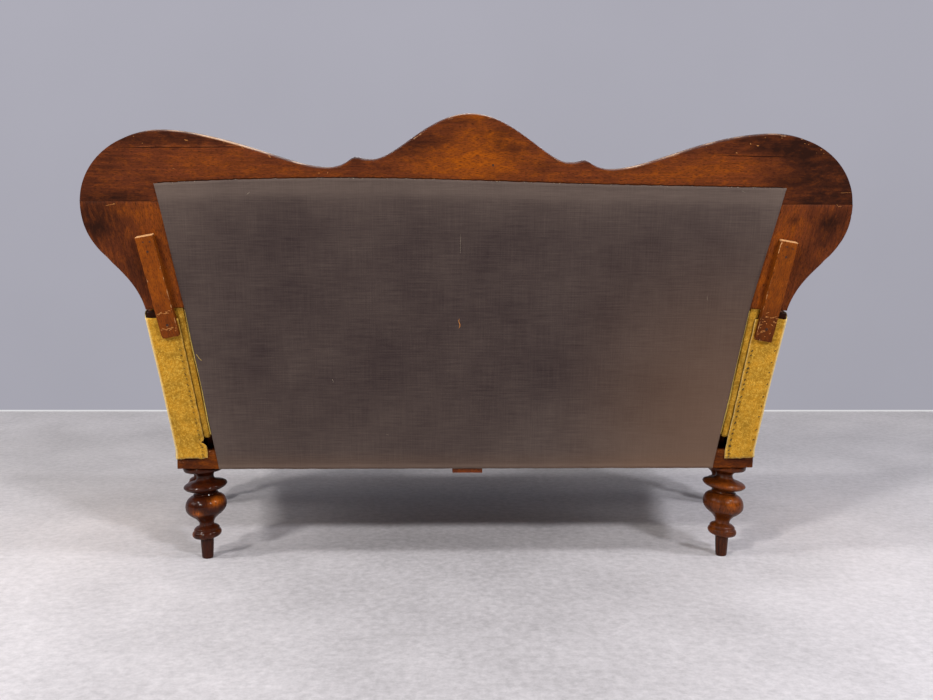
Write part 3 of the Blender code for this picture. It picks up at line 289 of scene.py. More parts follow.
def sawn(o, x, s):
    """The crest's top edge as it was sawn: blunt ears, and a little low in three places."""
    ears = 0.0030 * exp(-((abs(x) - o.ear_x) / 0.005) ** 2) + 0.0046 * exp(-((x + 0.225) / 0.05) ** 2)
    lobes = 0.0045 * exp(-((x - 0.57) / 0.12) ** 2) + 0.0032 * exp(-((x + 0.60) / 0.11) ** 2)
    return s - ears - lobes * smooth(o.valley - 0.01, o.valley + 0.01, s)


def wing_line(o, inset=0.0, foot=None):
    """The wing's outer edge, from its foot up to the lobe's widest point."""
    foot = o.wing_foot if foot is None else foot
    widest = o.crest_half - inset
    foot_x = o.crest_half - o.wing_tuck - 0.8 * inset
    middle = o.valley - o.lobe_drop
    rise = middle - foot
    return bezier((foot_x, foot), (foot_x + 0.221 * (widest - foot_x), foot + 0.454 * rise),
                  (widest, middle - 0.50 * rise), (widest, middle), 48)


# Drawing of pieces

class Shape:
    """The points and faces of one piece, with each point's place on the grain and its marks."""

    def __init__(self):
        self.points, self.grain, self.faces, self.slots, self.marks = [], [], [], [], {}

    def add(self, point, grain=(0.0, 0.0), **marks):
        """Adds a point and returns its number."""
        number = len(self.points)
        self.points.append(tuple(point))
        self.grain.append(tuple(grain))
        self.mark(number, **marks)
        return number

    def mark(self, number, **marks):
        """Writes marks, such as stain or wear, on a point."""
        for mark, value in marks.items():
            self.marks.setdefault(mark, {})[number] = value

    def skin(self, rows, slot=0, wrap=False):
        """Covers rows of point numbers with faces."""
        for low, high in zip(rows, rows[1:]):
            count = len(low)
            for i in range(count if wrap else count - 1):
                j = (i + 1) % count
                self.face((low[i], low[j], high[j], high[i]), slot)

    def face(self, numbers, slot=0):
        numbers = list(dict.fromkeys(numbers))
        if len(numbers) > 2:
            self.faces.append(numbers)
            self.slots.append(slot)

    def tube(self, path, radius, sides=8, slot=0):
        """A round cord along a path, closed at its ends."""
        path = [Vector(p) for p in path]
        side = Vector((0.31, 0.52, 0.79))
        run = (path[1] - path[0]).normalized()
        side = (side - run * side.dot(run)).normalized()
        rows, gone = [], 0.0
        for i, point in enumerate(path):
            ahead = (path[min(i + 1, len(path) - 1)] - path[max(i - 1, 0)]).normalized()
            side = (side - ahead * side.dot(ahead)).normalized()
            over = ahead.cross(side)
            r = radius(i / (len(path) - 1)) if callable(radius) else radius
            if i:
                gone += (point - path[i - 1]).length
            rows.append([
                self.add(point + side * r * cos(a) + over * r * sin(a), (gone, a * r))
                for a in (2 * pi * k / sides for k in range(sides))
            ])
        self.skin(rows, slot, True)
        self.face(list(reversed(rows[0])), slot)
        self.face(rows[-1], slot)

    def turned(self, profile, matrix, sides):
        """A form turned about z from a profile of radius and height, top to bottom."""
        rows, gone = [], 0.0
        for i, (r, z) in enumerate(profile):
            if i:
                gone += sqrt((r - profile[i - 1][0]) ** 2 + (z - profile[i - 1][1]) ** 2)
            if r < 1e-6:
                rows.append([self.add(matrix @ Vector((0, 0, z)), (gone, 0))] * sides)
                continue
            rows.append([
                self.add(matrix @ Vector((r * cos(a), r * sin(a), z)), (gone, a * 0.04))
                for a in (2 * pi * k / sides for k in range(sides))
            ])
        self.skin(rows, wrap=True)

    def bar(self, corners, ease, chips, seed):
        """A squared bar from its eight corners, rear face first, with eased edges."""
        block = bmesh.new()
        made = [block.verts.new(c) for c in corners]
        for face in ((0, 1, 2, 3), (7, 6, 5, 4), (0, 4, 5, 1), (1, 5, 6, 2), (2, 6, 7, 3), (3, 7, 4, 0)):
            block.faces.new([made[k] for k in face])
        bmesh.ops.recalc_face_normals(block, faces=block.faces)
        block.normal_update()
        sharp = [e for e in block.edges if e.calc_face_angle(0) > 0.5]
        eased = bmesh.ops.bevel(block, geom=sharp, offset=ease, segments=2, affect="EDGES", profile=0.6)
        for f in eased["faces"]:
            f.material_index = 1
        centre = sum((Vector(c) for c in corners), Vector()) / 8
        ends = sorted(
            (Vector(corners[k]) - Vector(corners[0]) for k in (1, 3, 4)), key=lambda e: -e.length)
        for way, cuts in zip(ends, (40, 8, 6)):
            for cut in range(1, cuts):
                bmesh.ops.bisect_plane(
                    block, geom=block.verts[:] + block.edges[:] + block.faces[:],
                    plane_co=centre + way * (cut / cuts - 0.5), plane_no=way.normalized())
        block.normal_update()
        run = ends[0].normalized()
        worn = {v for f in block.faces if f.material_index for v in f.verts}
        numbers = {}
        for v in block.verts:
            spot = v.co.copy()
            bite = 0.0
            if v in worn:
                bite = max(wobble(spot.x * 70 + seed, spot.y * 70, spot.z * 70) - 0.1, 0) * 1.6
                spot += (centre + run * (spot - centre).dot(run) - spot).normalized() * chips * min(bite, 1)
            off = v.co - centre
            along = off.dot(run)
            across = off - run * along
            numbers[v] = self.add(
                spot, (along, across.x + 1.3 * across.y + seed),
                worn=BAR_WEAR * (0.25 + bite) if v in worn else 0.0)
        for f in block.faces:
            self.face([numbers[v] for v in f.verts])
        block.free()

    def make(self, name, finishes, replaces, slot, crease=40):
        """Turns the drawing into a piece that goes with the frame, in one or two finishes."""
        mesh = bpy.data.meshes.new(name)
        mesh.from_pydata(self.points, [], self.faces)
        for key in finishes:
            mesh.materials.append(finish(key))
        mesh.polygons.foreach_set("material_index", self.slots)
        corner = np.zeros(len(mesh.loops), np.int32)
        mesh.loops.foreach_get("vertex_index", corner)
        layer = mesh.uv_layers.new(name="Grain")
        layer.data.foreach_set("uv", np.array(self.grain, np.float32)[corner].ravel())
        for mark, values in self.marks.items():
            full = np.zeros(len(self.points), np.float32)
            full[list(values)] = list(values.values())
            mesh.attributes.new(mark, "FLOAT", "POINT").data.foreach_set("value", full)
        shell = bmesh.new()
        shell.from_mesh(mesh)
        bmesh.ops.recalc_face_normals(shell, faces=shell.faces)
        shell.to_mesh(mesh)
        shell.free()
        mesh.shade_smooth()
        mesh.set_sharp_from_angle(angle=radians(crease))
        return place(bpy.data.objects.new(name, mesh), replaces, slot)


def place(piece, replaces, slot):
    """Puts a piece in the scene, on the frame's body."""
    bpy.context.scene.collection.objects.link(piece)
    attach(piece, "root")
    if replaces:
        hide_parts(*replaces)
    return piece


def thicken(piece, name, thickness, offset):
    """Gives a sheet its thickness, to both sides at offset 0 and inwards at -1."""
    thick = piece.modifiers.new(name, "SOLIDIFY")
    thick.thickness = thickness
    thick.offset = offset


# Materials

class Finish:
    """A material and its nodes."""

    def __init__(self, name):
        self.material = bpy.data.materials.new(name)
        self.material.use_nodes = True
        self.tree = self.material.node_tree
        self.shader = self.tree.nodes["Principled BSDF"]

    def fill(self, made, sockets):
        """Fills a node's sockets, each with a plain value or the output that feeds it."""
        for key, value in sockets.items():
            if isinstance(value, bpy.types.NodeSocket):
                self.tree.links.new(value, made.inputs[key])
            else:
                made.inputs[key].default_value = value

    def node(self, kind, sockets=None, out=0, **settings):
        """Adds a node with its settings and links, and gives the output that others take."""
        made = self.tree.nodes.new(f"ShaderNode{kind}")
        for key, value in settings.items():
            setattr(made, key, value)
        self.fill(made, sockets or {})
        return made.outputs[out]

    def finished(self, sockets):
        """The material, once its shader's sockets are filled."""
        self.fill(self.shader, sockets)
        return self.material


# Widths of the patterns in millimetres
PORE_MM, SPECK_MM, MOTTLE_MM, STAIN_CLOUD_MM = 1.05, 3.85, 14.3, 66.7
CRUSHED_PILE_MM, BRUSHED_PILE_MM = 5.88, 29.4
FADED_CLOTH_MM = 167
RUST_MM = 4.55
SCREED_GRIT_MM, SCREED_CLOUD_MM = 18.2, 286
WALL_CLOUD_MM = 909

# A mix of colours 6 and 7 by share 0, which stays between them or may go past them
COLOUR_MIX = {"out": 2, "data_type": "RGBA", "clamp_factor": True}
OPEN_MIX = {**COLOUR_MIX, "clamp_factor": False}


def stained_wood(name, tones, rough=0.5, shine=0.05, coat=0.0, along=None, streak_mm=4.0, figure=0.5,
                 open_share=0.4):
    """Brush-stained softwood or polished hardwood, sawn along the grain.

    Stain sinks into the soft early wood, so dark streaks, pores and cloudy patches show, and
    bare pale wood shows where edges have worn. Grain follows the piece's own grain places,
    or the frame's axes where along gives the axis that it runs on.
    """
    dark, middle, light, worn = ((*tone, 1) for tone in tones)
    f = Finish(name)
    run = along or (1, 0, 0)
    spot = f.node("TexCoord", out="Object") if along else f.node("UVMap", out="UV", uv_map="Grain")
    drawn, short, wide = (
        f.node("Mapping", {"Vector": spot, "Scale": tuple(pull if r else 1 for r in run)})
        for pull in (0.05, 0.12, 0.45))
    streak = f.node("TexNoise", {
        "Vector": drawn, "Scale": 1000 / streak_mm, "Detail": 5, "Roughness": 0.6, "Distortion": 0.4})
    # Pores are about 0.3 mm wide; they are drawn at 1 mm so that they show
    pore = f.node("TexNoise", {"Vector": short, "Scale": 1000 / PORE_MM, "Detail": 2, "Roughness": 0.6})
    mottle = f.node("TexNoise", {
        "Vector": wide, "Scale": 1000 / MOTTLE_MM, "Detail": 8, "Roughness": 0.72, "Distortion": 0.4})
    cloud = f.node("TexNoise", {
        "Vector": wide, "Scale": 1000 / STAIN_CLOUD_MM, "Detail": 4, "Roughness": 0.6})
    speck = f.node("TexNoise", {"Vector": spot, "Scale": 1000 / SPECK_MM, "Detail": 2, "Roughness": 0.7})
    glow, stain, bare = (
        f.node("Attribute", out="Fac", attribute_name=mark) for mark in ("glow", "stain", "worn"))
    streaks = f.node("MapRange", {0: streak, 1: 0.38, 2: 0.64, 3: 0.0, 4: figure})
    tone = f.node("Mix", {0: streaks, 6: middle, 7: dark}, **COLOUR_MIX)
    thin = f.node("MapRange", {0: mottle, 1: 0.36, 2: 0.66, 3: 0.45, 4: 1.15})
    # The glow mark lightens towards the light tone: thin stain on the boards, painted glints on the legs and
    # painted light on the side rail blocks
    lit = f.node("Math", {0: glow, 1: thin}, operation="MULTIPLY")
    open_grain = f.node("MapRange", {0: mottle, 1: 0.48, 2: 0.68, 3: 0.0, 4: open_share})
    lit = f.node("Math", {0: lit, 1: open_grain}, operation="ADD")
    tone = f.node("Mix", {0: lit, 6: tone, 7: light}, **COLOUR_MIX)
    patchy = f.node("MapRange", {0: mottle, 1: 0.36, 2: 0.62, 3: 1.1, 4: 0.62})
    soaked = f.node("Math", {0: stain, 1: patchy}, operation="MULTIPLY")
    murk = f.node("MapRange", {0: cloud, 1: 0.52, 2: 0.30, 3: 0.0, 4: 0.28})
    soaked = f.node("Math", {0: soaked, 1: murk}, operation="ADD")
    tone = f.node("Mix", {0: soaked, 6: tone, 7: dark}, **COLOUR_MIX)
    pores = f.node("MapRange", {0: pore, 1: 0.50, 2: 0.66, 3: 0.0, 4: 0.80})
    tone = f.node("Mix", {0: pores, 6: tone, 7: dark}, **COLOUR_MIX)
    broken = f.node("Math", {0: speck, 1: bare}, operation="ADD")
    bared = f.node("MapRange", {0: broken, 1: 0.84, 2: 1.12, 3: 0.0, 4: 0.95})
    relief = f.node("Math", {0: streak, 1: pores}, operation="SUBTRACT")
    return f.finished({
        "Base Color": f.node("Mix", {0: bared, 6: tone, 7: worn}, **COLOUR_MIX),
        "Roughness": f.node("MapRange", {0: mottle, 1: 0.3, 2: 0.7, 3: rough - 0.08, 4: rough + 0.10}),
        "Normal": f.node("Bump", {"Strength": 0.25, "Distance": 0.0005, "Height": relief}),
        "IOR": 1.5,
        "Specular IOR Level": shine,
        "Coat Weight": coat,
        "Coat Roughness": 0.05,
    })


def cotton_velvet(name, colours, nap):
    """Cut cotton pile: soft sheen at grazing angles and a nap that is brushed both ways."""
    plain, shade, light, soiled, painted_highlight_tone = ((*tone, 1) for tone in (
        colours.velvet, colours.velvet_shade, colours.velvet_light, *tones("#4a350c", "#f2dfa6")))
    f = Finish(name)
    spot = f.node("TexCoord", out="Object")
    brushed = f.node("TexNoise", {
        "Vector": spot, "Scale": 1000 / BRUSHED_PILE_MM, "Detail": 4, "Roughness": 0.6})
    crushed = f.node("TexNoise", {
        "Vector": spot, "Scale": 1000 / CRUSHED_PILE_MM, "Detail": 5, "Roughness": 0.72,
        "Distortion": 0.6})
    # A tuft is under 1 mm; it is drawn at the nap's width so that it shows
    pile = f.node("TexNoise", {"Vector": spot, "Scale": 1 / nap, "Detail": 3, "Roughness": 0.7})
    soil, pale = (f.node("Attribute", out="Fac", attribute_name=mark) for mark in ("soil", "pale"))
    both = f.node("Math", {0: crushed, 1: 0.6, 2: brushed}, operation="MULTIPLY_ADD")
    fall = f.node("MapRange", {0: both, 1: 0.60, 2: 0.90, 3: 0.0, 4: 1.0})
    tone = f.node("Mix", {0: fall, 6: shade, 7: plain}, **COLOUR_MIX)
    rise = f.node("MapRange", {0: crushed, 1: 0.46, 2: 0.70, 3: 0.0, 4: 0.8})
    tone = f.node("Mix", {0: rise, 6: tone, 7: light}, **COLOUR_MIX)
    tuft = f.node("MapRange", {0: pile, 1: 0.36, 2: 0.60, 3: 0.8, 4: 0.0})
    tone = f.node("Mix", {0: tuft, 6: tone, 7: shade}, **COLOUR_MIX)
    # The soiled tone darkens the velvet for real soil and for painted shade in creases and hollows
    tone = f.node("Mix", {0: soil, 6: tone, 7: soiled}, **COLOUR_MIX)
    relief = f.node("Math", {0: crushed, 1: 1.4, 2: pile}, operation="MULTIPLY_ADD")
    return f.finished({
        # The pale mark mixes in a painted highlight on the velvet's turned edges
        "Base Color": f.node("Mix", {0: pale, 6: tone, 7: painted_highlight_tone}, **COLOUR_MIX),
        "Normal": f.node("Bump", {"Strength": 0.4, "Distance": 0.0012, "Height": relief}),
        "Roughness": 0.86,
        "Specular IOR Level": 0.2,
        "Sheen Weight": 0.12,
        "Sheen Roughness": 0.4,
        "Sheen Tint": (*linear("#f3dc94"), 1),
    })


def union_cloth(name, base, faded, slub):
    """Plain-woven linen and cotton: even and matt, with slubs along the weft and faded parts."""
    f = Finish(name)
    weave = f.node("UVMap", out="UV", uv_map="Grain")
    along, across = (
        f.node("Mapping", {"Vector": weave, "Scale": scale}) for scale in ((0.035, 1, 1), (1, 0.03, 1)))
    # Threads lie 0.5 mm apart; they are drawn coarser so that they show
    weft = f.node("TexNoise", {"Vector": along, "Scale": 1 / slub, "Detail": 3, "Roughness": 0.7})
    warp = f.node("TexNoise", {"Vector": across, "Scale": 0.9 / slub, "Detail": 2, "Roughness": 0.6})
    cloud = f.node("TexNoise", {
        "Vector": weave, "Scale": 1000 / FADED_CLOTH_MM, "Detail": 5, "Roughness": 0.6})
    fade, brown = (f.node("Attribute", out="Fac", attribute_name=mark) for mark in ("fade", "brown"))
    lighter = f.node("MapRange", {0: weft, 1: 0.34, 2: 0.70, 3: -0.13, 4: 0.17})
    upright = f.node("MapRange", {0: warp, 1: 0.35, 2: 0.75, 3: -0.05, 4: 0.08})
    total = f.node("Math", {0: lighter, 1: upright}, operation="ADD")
    cloudy = f.node("MapRange", {0: cloud, 1: 0.35, 2: 0.70, 3: -0.10, 4: 0.16})
    total = f.node("Math", {0: total, 1: cloudy}, operation="ADD")
    total = f.node("Math", {0: total, 1: fade}, operation="ADD")
    # Below nothing the mix goes on past the plain tone, to the dark gaps between threads
    tone = f.node("Mix", {0: total, 6: (*base, 1), 7: (*faded, 1)}, **OPEN_MIX)
    relief = f.node("Math", {0: weft, 1: warp}, operation="ADD")
    return f.finished({
        "Base Color": f.node("Mix", {0: brown, 6: tone, 7: (*linear("#6b5241"), 1)}, **COLOUR_MIX),
        "Normal": f.node("Bump", {"Strength": 0.35, "Distance": 0.0005, "Height": relief}),
        "Roughness": 0.88,
        "Specular IOR Level": 0.08,
    })


def plain_thread(name, colour, dark, twist_mm=1.11):
    """Spun fibre, twine or coarse jute: matt, with a fine uneven twist."""
    f = Finish(name)
    spot = f.node("TexCoord", out="Object")
    twist = f.node("TexNoise", {"Vector": spot, "Scale": 1000 / twist_mm, "Detail": 3, "Roughness": 0.7})
    part = f.node("MapRange", {0: twist, 1: 0.38, 2: 0.66, 3: 0.0, 4: 1.0})
    return f.finished({
        "Base Color": f.node("Mix", {0: part, 6: (*dark, 1), 7: (*colour, 1)}, **COLOUR_MIX),
        "Normal": f.node("Bump", {"Strength": 0.5, "Distance": 0.0005, "Height": twist}),
        "Roughness": 0.9,
    })


def drawn_steel(name, bright, rust, share):
    """Drawn steel wire or a cut iron nail: grey with rust where the air gets at it."""
    f = Finish(name)
    spot = f.node("TexCoord", out="Object")
    patch = f.node("TexNoise", {"Vector": spot, "Scale": 1000 / RUST_MM, "Detail": 5, "Roughness": 0.7})
    part = f.node("MapRange", {0: patch, 1: 0.62 - share, 2: 0.75 - share, 3: 0.0, 4: 1.0})
    return f.finished({
        "Base Color": f.node("Mix", {0: part, 6: (*bright, 1), 7: (*rust, 1)}, **COLOUR_MIX),
        "Metallic": f.node("MapRange", {0: part, 1: 0.0, 2: 1.0, 3: 1.0, 4: 0.1}),
        "Roughness": f.node("MapRange", {0: part, 1: 0.0, 2: 1.0, 3: 0.35, 4: 0.85}),
    })


def tones(*codes):
    return tuple(linear(code) for code in codes)


FINISHES = {}


def finish(key):
    """A finish by its name. All of them are made when the first one is asked for."""
    if not FINISHES:
        make_finishes(bpy.context.scene.sofa_colours, bpy.context.scene.sofa_soft)
    return FINISHES[key]


def make_finishes(c, soft):
    """All finishes, from the colours and the sizes of the cloths."""
    boards = (c.board_dark, c.board, c.board_light, c.board_worn)
    show = (c.mahogany_dark, c.mahogany, c.mahogany_light, c.mahogany_light)
    bare = tones("#3c1a05", "#763606", "#984c06", "#d9a470")
    chipped = tones("#8a5224", "#b67a44", "#d69c64", "#e6c4a4")
    scratched = tones("#7a4322", "#a9653c", "#c98f75", "#d9ab90")
    # The legs' light tone is the orange of their painted glints
    turned = tones("#120603", "#3c1608", "#d8701a", "#cf6a16")
    glued = tones("#120703", "#1d0c06", "#3a1a0c", "#5a2c14")
    end_grain = (*tones("#120804", "#2c140b", "#5a2c14"), c.board_worn)
    planed = {"rough": 0.55, "shine": 0.1}
    polished = {"rough": 0.36, "shine": 0.3, "coat": 0.4, "streak_mm": 7.0}
    FINISHES.update({
        "board": stained_wood("stained_pine", boards),
        "batten": stained_wood("bare_pine", bare, streak_mm=3.5, **planed),
        "chip": stained_wood("chipped_pine", chipped, 0.6),
        "scratch": stained_wood("scratched_pine", scratched, 0.6),
        "rail": stained_wood("stained_pine_rail", boards, along=(1, 0, 0), **planed),
        "side_rail": stained_wood("stained_pine_side", boards, along=(0, 1, 0), **planed),
        "post": stained_wood("stained_pine_post", boards, along=(0, 0, 1), **planed),
        "mahogany": stained_wood("shellacked_mahogany", show, 0.36, 0.15, 0.7, streak_mm=7.0),
        "leg": stained_wood("turned_mahogany", turned, 0.32, 0.04, 0.28, None, 7.0, 0.3, 0.05),
        "glue": stained_wood("glued_pine_joint", glued, 0.7),
        "end_grain": stained_wood("stained_pine_end", end_grain, 0.7),
        "mahogany_upright": stained_wood("shellacked_mahogany_upright", show, along=(0, 0, 1), **polished),
        "mahogany_level": stained_wood("shellacked_mahogany_level", show, along=(1, 0, 0), **polished),
        "velvet": cotton_velvet("gold_cotton_velvet", c, soft.nap),
        "cloth": union_cloth("taupe_union_cloth", c.cloth, c.cloth_light, soft.slub),
        "thread": plain_thread("linen_thread", c.thread, linear("#7d6f5e")),
        "cord": plain_thread("gold_cotton_cord", *tones("#d8bc62", "#9a7a24"), 1.43),
        "stitch": plain_thread("soiled_thread", *tones("#4a3812", "#241a08")),
        "jute": plain_thread("jute_webbing", c.jute, linear("#6b5236"), 1.92),
        "hessian": plain_thread("jute_hessian", *tones("#a88b62", "#6f573a"), 2.63),
        "steel": drawn_steel("drawn_steel_wire", *tones("#8d8b88", "#5b3a24"), 0.06),
        "iron": drawn_steel("cut_iron_nail", *tones("#45403c", "#24140c"), 0.3),
    })


# Boards of the back

CREST_STAINS = (
    (0.785, 0.64, 0.06, 0.04, 0.5), (0.7, 0.622, 0.09, 0.016, 0.35), (0.665, 0.652, 0.022, 0.016, 0.35),
    (0.64, 0.738, 0.14, 0.012, 0.4), (0.76, 0.7, 0.06, 0.03, 0.4), (0.56, 0.652, 0.06, 0.012, 0.25),
    (0.105, 0.738, 0.055, 0.022, 0.75), (0.15, 0.715, 0.05, 0.014, 0.5), (-0.06, 0.752, 0.03, 0.016, 0.55),
    (-0.09, 0.722, 0.06, 0.014, 0.4), (-0.048, 0.727, 0.018, 0.004, 0.95), (0.244, 0.696, 0.012, 0.01, 0.6),
    (-0.244, 0.696, 0.012, 0.01, 0.6), (-0.155, 0.685, 0.022, 0.01, 0.4), (0.0, 0.78, 0.06, 0.008, 0.35),
    (-0.715, 0.715, 0.09, 0.034, 0.7), (-0.79, 0.65, 0.09, 0.08, 1.15), (-0.665, 0.655, 0.06, 0.02, 0.4),
    (-0.76, 0.69, 0.06, 0.04, 0.5), (-0.6, 0.742, 0.08, 0.01, 0.5), (-0.4, 0.686, 0.05, 0.008, 0.2),
    (0.34, 0.684, 0.12, 0.016, 0.25), (0.2, 0.68, 0.06, 0.03, 0.2), (-0.33, 0.684, 0.08, 0.016, 0.2),
)
CREST_GLOWS = (
    (0.0, 0.69, 0.12, 0.035, 0.95), (-0.03, 0.74, 0.07, 0.035, 0.65), (0.4, 0.668, 0.11, 0.014, 0.25),
    (-0.42, 0.672, 0.14, 0.02, 0.45), (0.54, 0.69, 0.08, 0.02, 0.3), (-0.55, 0.69, 0.08, 0.02, 0.35),
    (0.0, 0.786, 0.036, 0.005, 0.9),
)
STILE_STAINS = (
    (0.76, 0.56, 0.06, 0.05, 0.55), (0.72, 0.47, 0.03, 0.06, 0.6), (0.69, 0.43, 0.02, 0.05, 0.45),
    (-0.77, 0.57, 0.028, 0.022, 0.9), (-0.695, 0.572, 0.016, 0.009, 0.6), (-0.765, 0.53, 0.025, 0.03, 0.6),
    (-0.735, 0.48, 0.03, 0.05, 0.4), (0.8, 0.57, 0.04, 0.06, 0.7), (-0.805, 0.575, 0.03, 0.06, 0.5),
)
STILE_GLOWS = (
    (0.66, 0.56, 0.04, 0.06, 0.55), (0.64, 0.44, 0.03, 0.08, 0.6), (0.72, 0.585, 0.05, 0.02, 0.45),
    (-0.68, 0.52, 0.04, 0.08, 0.5), (-0.64, 0.43, 0.03, 0.08, 0.6),
)


def patches(marks, x, s):
    """Sum of soft patches at a place on the back."""
    return min(sum(
        amount * exp(-((x - px) / wide) ** 2 - ((s - ps) / high) ** 2)
        for px, ps, wide, high, amount in marks
    ), 1.2)


GLUE_LEVEL = {1: 0.7205, -1: 0.709}


def glue_line(x):
    """Where the strip that makes up a lobe's height is glued on, up the back."""
    return GLUE_LEVEL[1 if x > 0 else -1] - 0.01 * (abs(x) - 0.6)


def draw_board(shape, columns, o, grain, marks, wear):
    """A board from columns of (x, s) that share their number of points, with worn edges.

    grain gives a point's place on the grain from x, s and n, marks its stains from x and s,
    and wear how far its edge is rubbed bare there, or None where it is a tight joint.
    """
    last, top = len(columns) - 1, len(columns[0]) - 1
    loop = [(i, 0) for i in range(last)] + [(last, j) for j in range(top)]
    loop += [(i, top) for i in range(last, 0, -1)] + [(0, j) for j in range(top, 0, -1)]
    inset = {}
    for k, (i, j) in enumerate(loop):
        a, b = loop[k - 1], loop[(k + 1) % len(loop)]
        run = Vector(columns[b[0]][b[1]]) - Vector(columns[a[0]][a[1]])
        run.normalize()
        inwards = Vector((-run.y, run.x))
        x, s = columns[i][j]
        rub = wear(x, s)
        if rub is None:
            inset[i, j] = (inwards, 0.0002, 0.0, -0.3)
            continue
        bite = max(wobble(x * 38, s * 38, 4.1) - 0.28, 0) * 1.6
        bite += max(wobble(x * 130, s * 130, 9.7) - 0.3, 0)
        inset[i, j] = (inwards, o.edge_wear * (0.6 + 0.5 * rub) + o.chip * min(bite, 1.0), bite, rub)
    area = sum(
        columns[loop[k - 1][0]][loop[k - 1][1]][0] * columns[i][j][1]
        - columns[i][j][0] * columns[loop[k - 1][0]][loop[k - 1][1]][1]
        for k, (i, j) in enumerate(loop))
    turn = 1 if area > 0 else -1
    faces = {}
    for level, share in ((0.0, 1.0), (BOARD, 0.5)):
        rows = []
        for i, column in enumerate(columns):
            row = []
            for j, (x, s) in enumerate(column):
                worn = 0.0
                if (i, j) in inset:
                    way, much, bite, rub = inset[i, j]
                    x += turn * way.x * much * share
                    s += turn * way.y * much * share
                    worn = 0.1 * rub + 0.7 * min(bite, 1.0)
                hollow = 0.0
                if level == 0.0 and (i, j) not in inset:
                    hollow = 0.0003 * wobble(x * 9, s * 22, 2.2)
                row.append(shape.add(
                    on_back(x, s, level + max(hollow, 0.0)), grain(x, s, level), worn=worn, **marks(x, s)))
            rows.append(row)
        shape.skin(rows)
        faces[level] = [rows[i][j] for i, j in loop]
    rings = [faces[0.0]]
    for n, sign in ((o.edge_wear, 1), (BOARD * 0.5, 0), (BOARD - o.edge_wear, -1)):
        ring = []
        for i, j in loop:
            x, s = columns[i][j]
            much, bite, rub = inset[i, j][1:]
            n_here = much if sign == 1 else n
            worn = (0.55, 0.15, 0.9)[sign] * rub + 0.6 * min(bite, 1.0) * (sign == 1)
            ring.append(shape.add(on_back(x, s, n_here), grain(x, s, n_here), worn=worn, **marks(x, s)))
        rings.append(ring)
    rings.append(faces[BOARD])
    shape.skin([ring + ring[:1] for ring in rings])


class SOFA_OT_back_boards(bpy.types.Operator):
    """Draw the crest rail and the winged stiles, with worn and chipped edges"""

    bl_idname = "sofa.back_boards"
    bl_label = "Crest rail and stiles"

    def execute(self, context):
        o = context.scene.sofa_outline
        joint = o.valley - o.joint_drop
        self.crest(o, joint)
        for side, word in SIDES:
            self.stile(side, word, o, joint)
        return {"FINISHED"}

    def crest(self, o, joint):
        """The crest rail, in columns from its joint up to its sawn edge."""
        lobe_x = o.crest_half - o.lobe_radius
        steps = [0, 0.015, *(0.08 * k for k in range(1, 11)), 0.87, 0.93, 0.968, 0.986, 1.0]
        columns = []
        for x, s in mirrored(crest_line(o)):
            top = (x, max(sawn(o, x, s), joint + 0.0004))
            reach = abs(x) - lobe_x
            foot_x = abs(x) if reach < 0 else lobe_x + reach * (1 - 0.04 / o.lobe_radius)
            foot = (foot_x if x > 0 else -foot_x, joint + 0.0003)
            columns.append([mix(foot, top, t) for t in steps])

        def crest_marks(x, s):
            strip = -0.02
            if abs(x) > 0.44:
                strip = s - glue_line(x)
            upper = smooth(0.0, 0.006, strip) * (0.42 + 0.35 * wobble(x * 45, s * 60, 3.0))
            grey = smooth(0.634, 0.612, s) * smooth(0.66, 0.70, abs(x)) * 0.45
            return {
                "stain": min(0.9 * patches(CREST_STAINS, x, s) + upper + grey, 0.95),
                "glow": patches(CREST_GLOWS, x, s),
            }

        def crest_wear(x, s):
            if s < joint + 0.001:
                return None
            slope = smooth(0.22, 0.36, abs(x)) * smooth(0.74, 0.62, abs(x)) * (0.8 if x > 0 else 0.6)
            slope *= 0.8 + 0.9 * wobble(x * 34, 1.5)
            widest = 0.7 * exp(-((x - 0.515) / 0.045) ** 2)
            return max(slope, 0.0) + widest + 0.6 * smooth(0.075, 0.035, abs(x)) + 0.12

        crest = Shape()
        draw_board(crest, columns, o, lambda x, s, n: (x, s + n), crest_marks, crest_wear)
        crest.make("crest_board", ["board"], ["crest_rail"], "stained_wood", 50)

    def stile(self, side, word, o, joint):
        """A stile with its wing, and its post, which goes down behind the cloth."""
        widths = [u / 24 for u in range(24)] + [0.975, 0.99, 1.0]
        outer = wing_line(o) + [(o.crest_half, o.valley - o.lobe_drop)]
        outer += [(o.crest_half - 0.0004, joint - 0.0003)]
        count = len(outer) - 1
        rows = []
        for k, (x, s) in enumerate(outer):
            t = k / count
            foot_tilt = 0.0045 * (1 - t) ** 6
            s_in = o.wing_foot + (joint - 0.0003 - o.wing_foot) * t ** 0.95
            x_in = arm_x_on_back(STILE_EDGE, s_in) - STILE_WIDTH
            a, b = (x_in, s_in + foot_tilt), (x, s - foot_tilt)
            rows.append([mix(a, b, u) for u in widths])
        columns = [[(side * row[u][0], row[u][1]) for row in rows] for u in range(len(widths))]

        def stile_grain(x, s, n):
            off = x - side * 0.16 * s
            return (s * 0.98 + off * 0.16 * side, off + n)

        def stile_marks(x, s):
            shade = smooth(0.60, 0.607, s) * 0.2
            return {
                "stain": patches(STILE_STAINS, x, s) + shade,
                "glow": patches(STILE_GLOWS, x, s),
            }

        def stile_wear(x, s):
            if s > joint - 0.001 or abs(x) < 0.62 or s < o.wing_foot:
                return None
            return 0.15

        stile = Shape()
        draw_board(stile, columns, o, stile_grain, stile_marks, stile_wear)
        low = []
        for k in range(21):
            s = REAR_RAIL_TOP + (o.wing_foot + 0.003 - REAR_RAIL_TOP) * k / 20
            edge = arm_x_on_back(STILE_EDGE, s)
            low.append([(side * (edge - STILE_WIDTH * (1 - u / 6)), s) for u in range(7)])
        columns = [[row[u] for row in low] for u in range(7)]
        draw_board(stile, columns, o, stile_grain, stile_marks, lambda x, s: None)
        stile.make(f"stile_board_{word}", ["board"], [f"back_stile_{word}"], "stained_wood", 50)


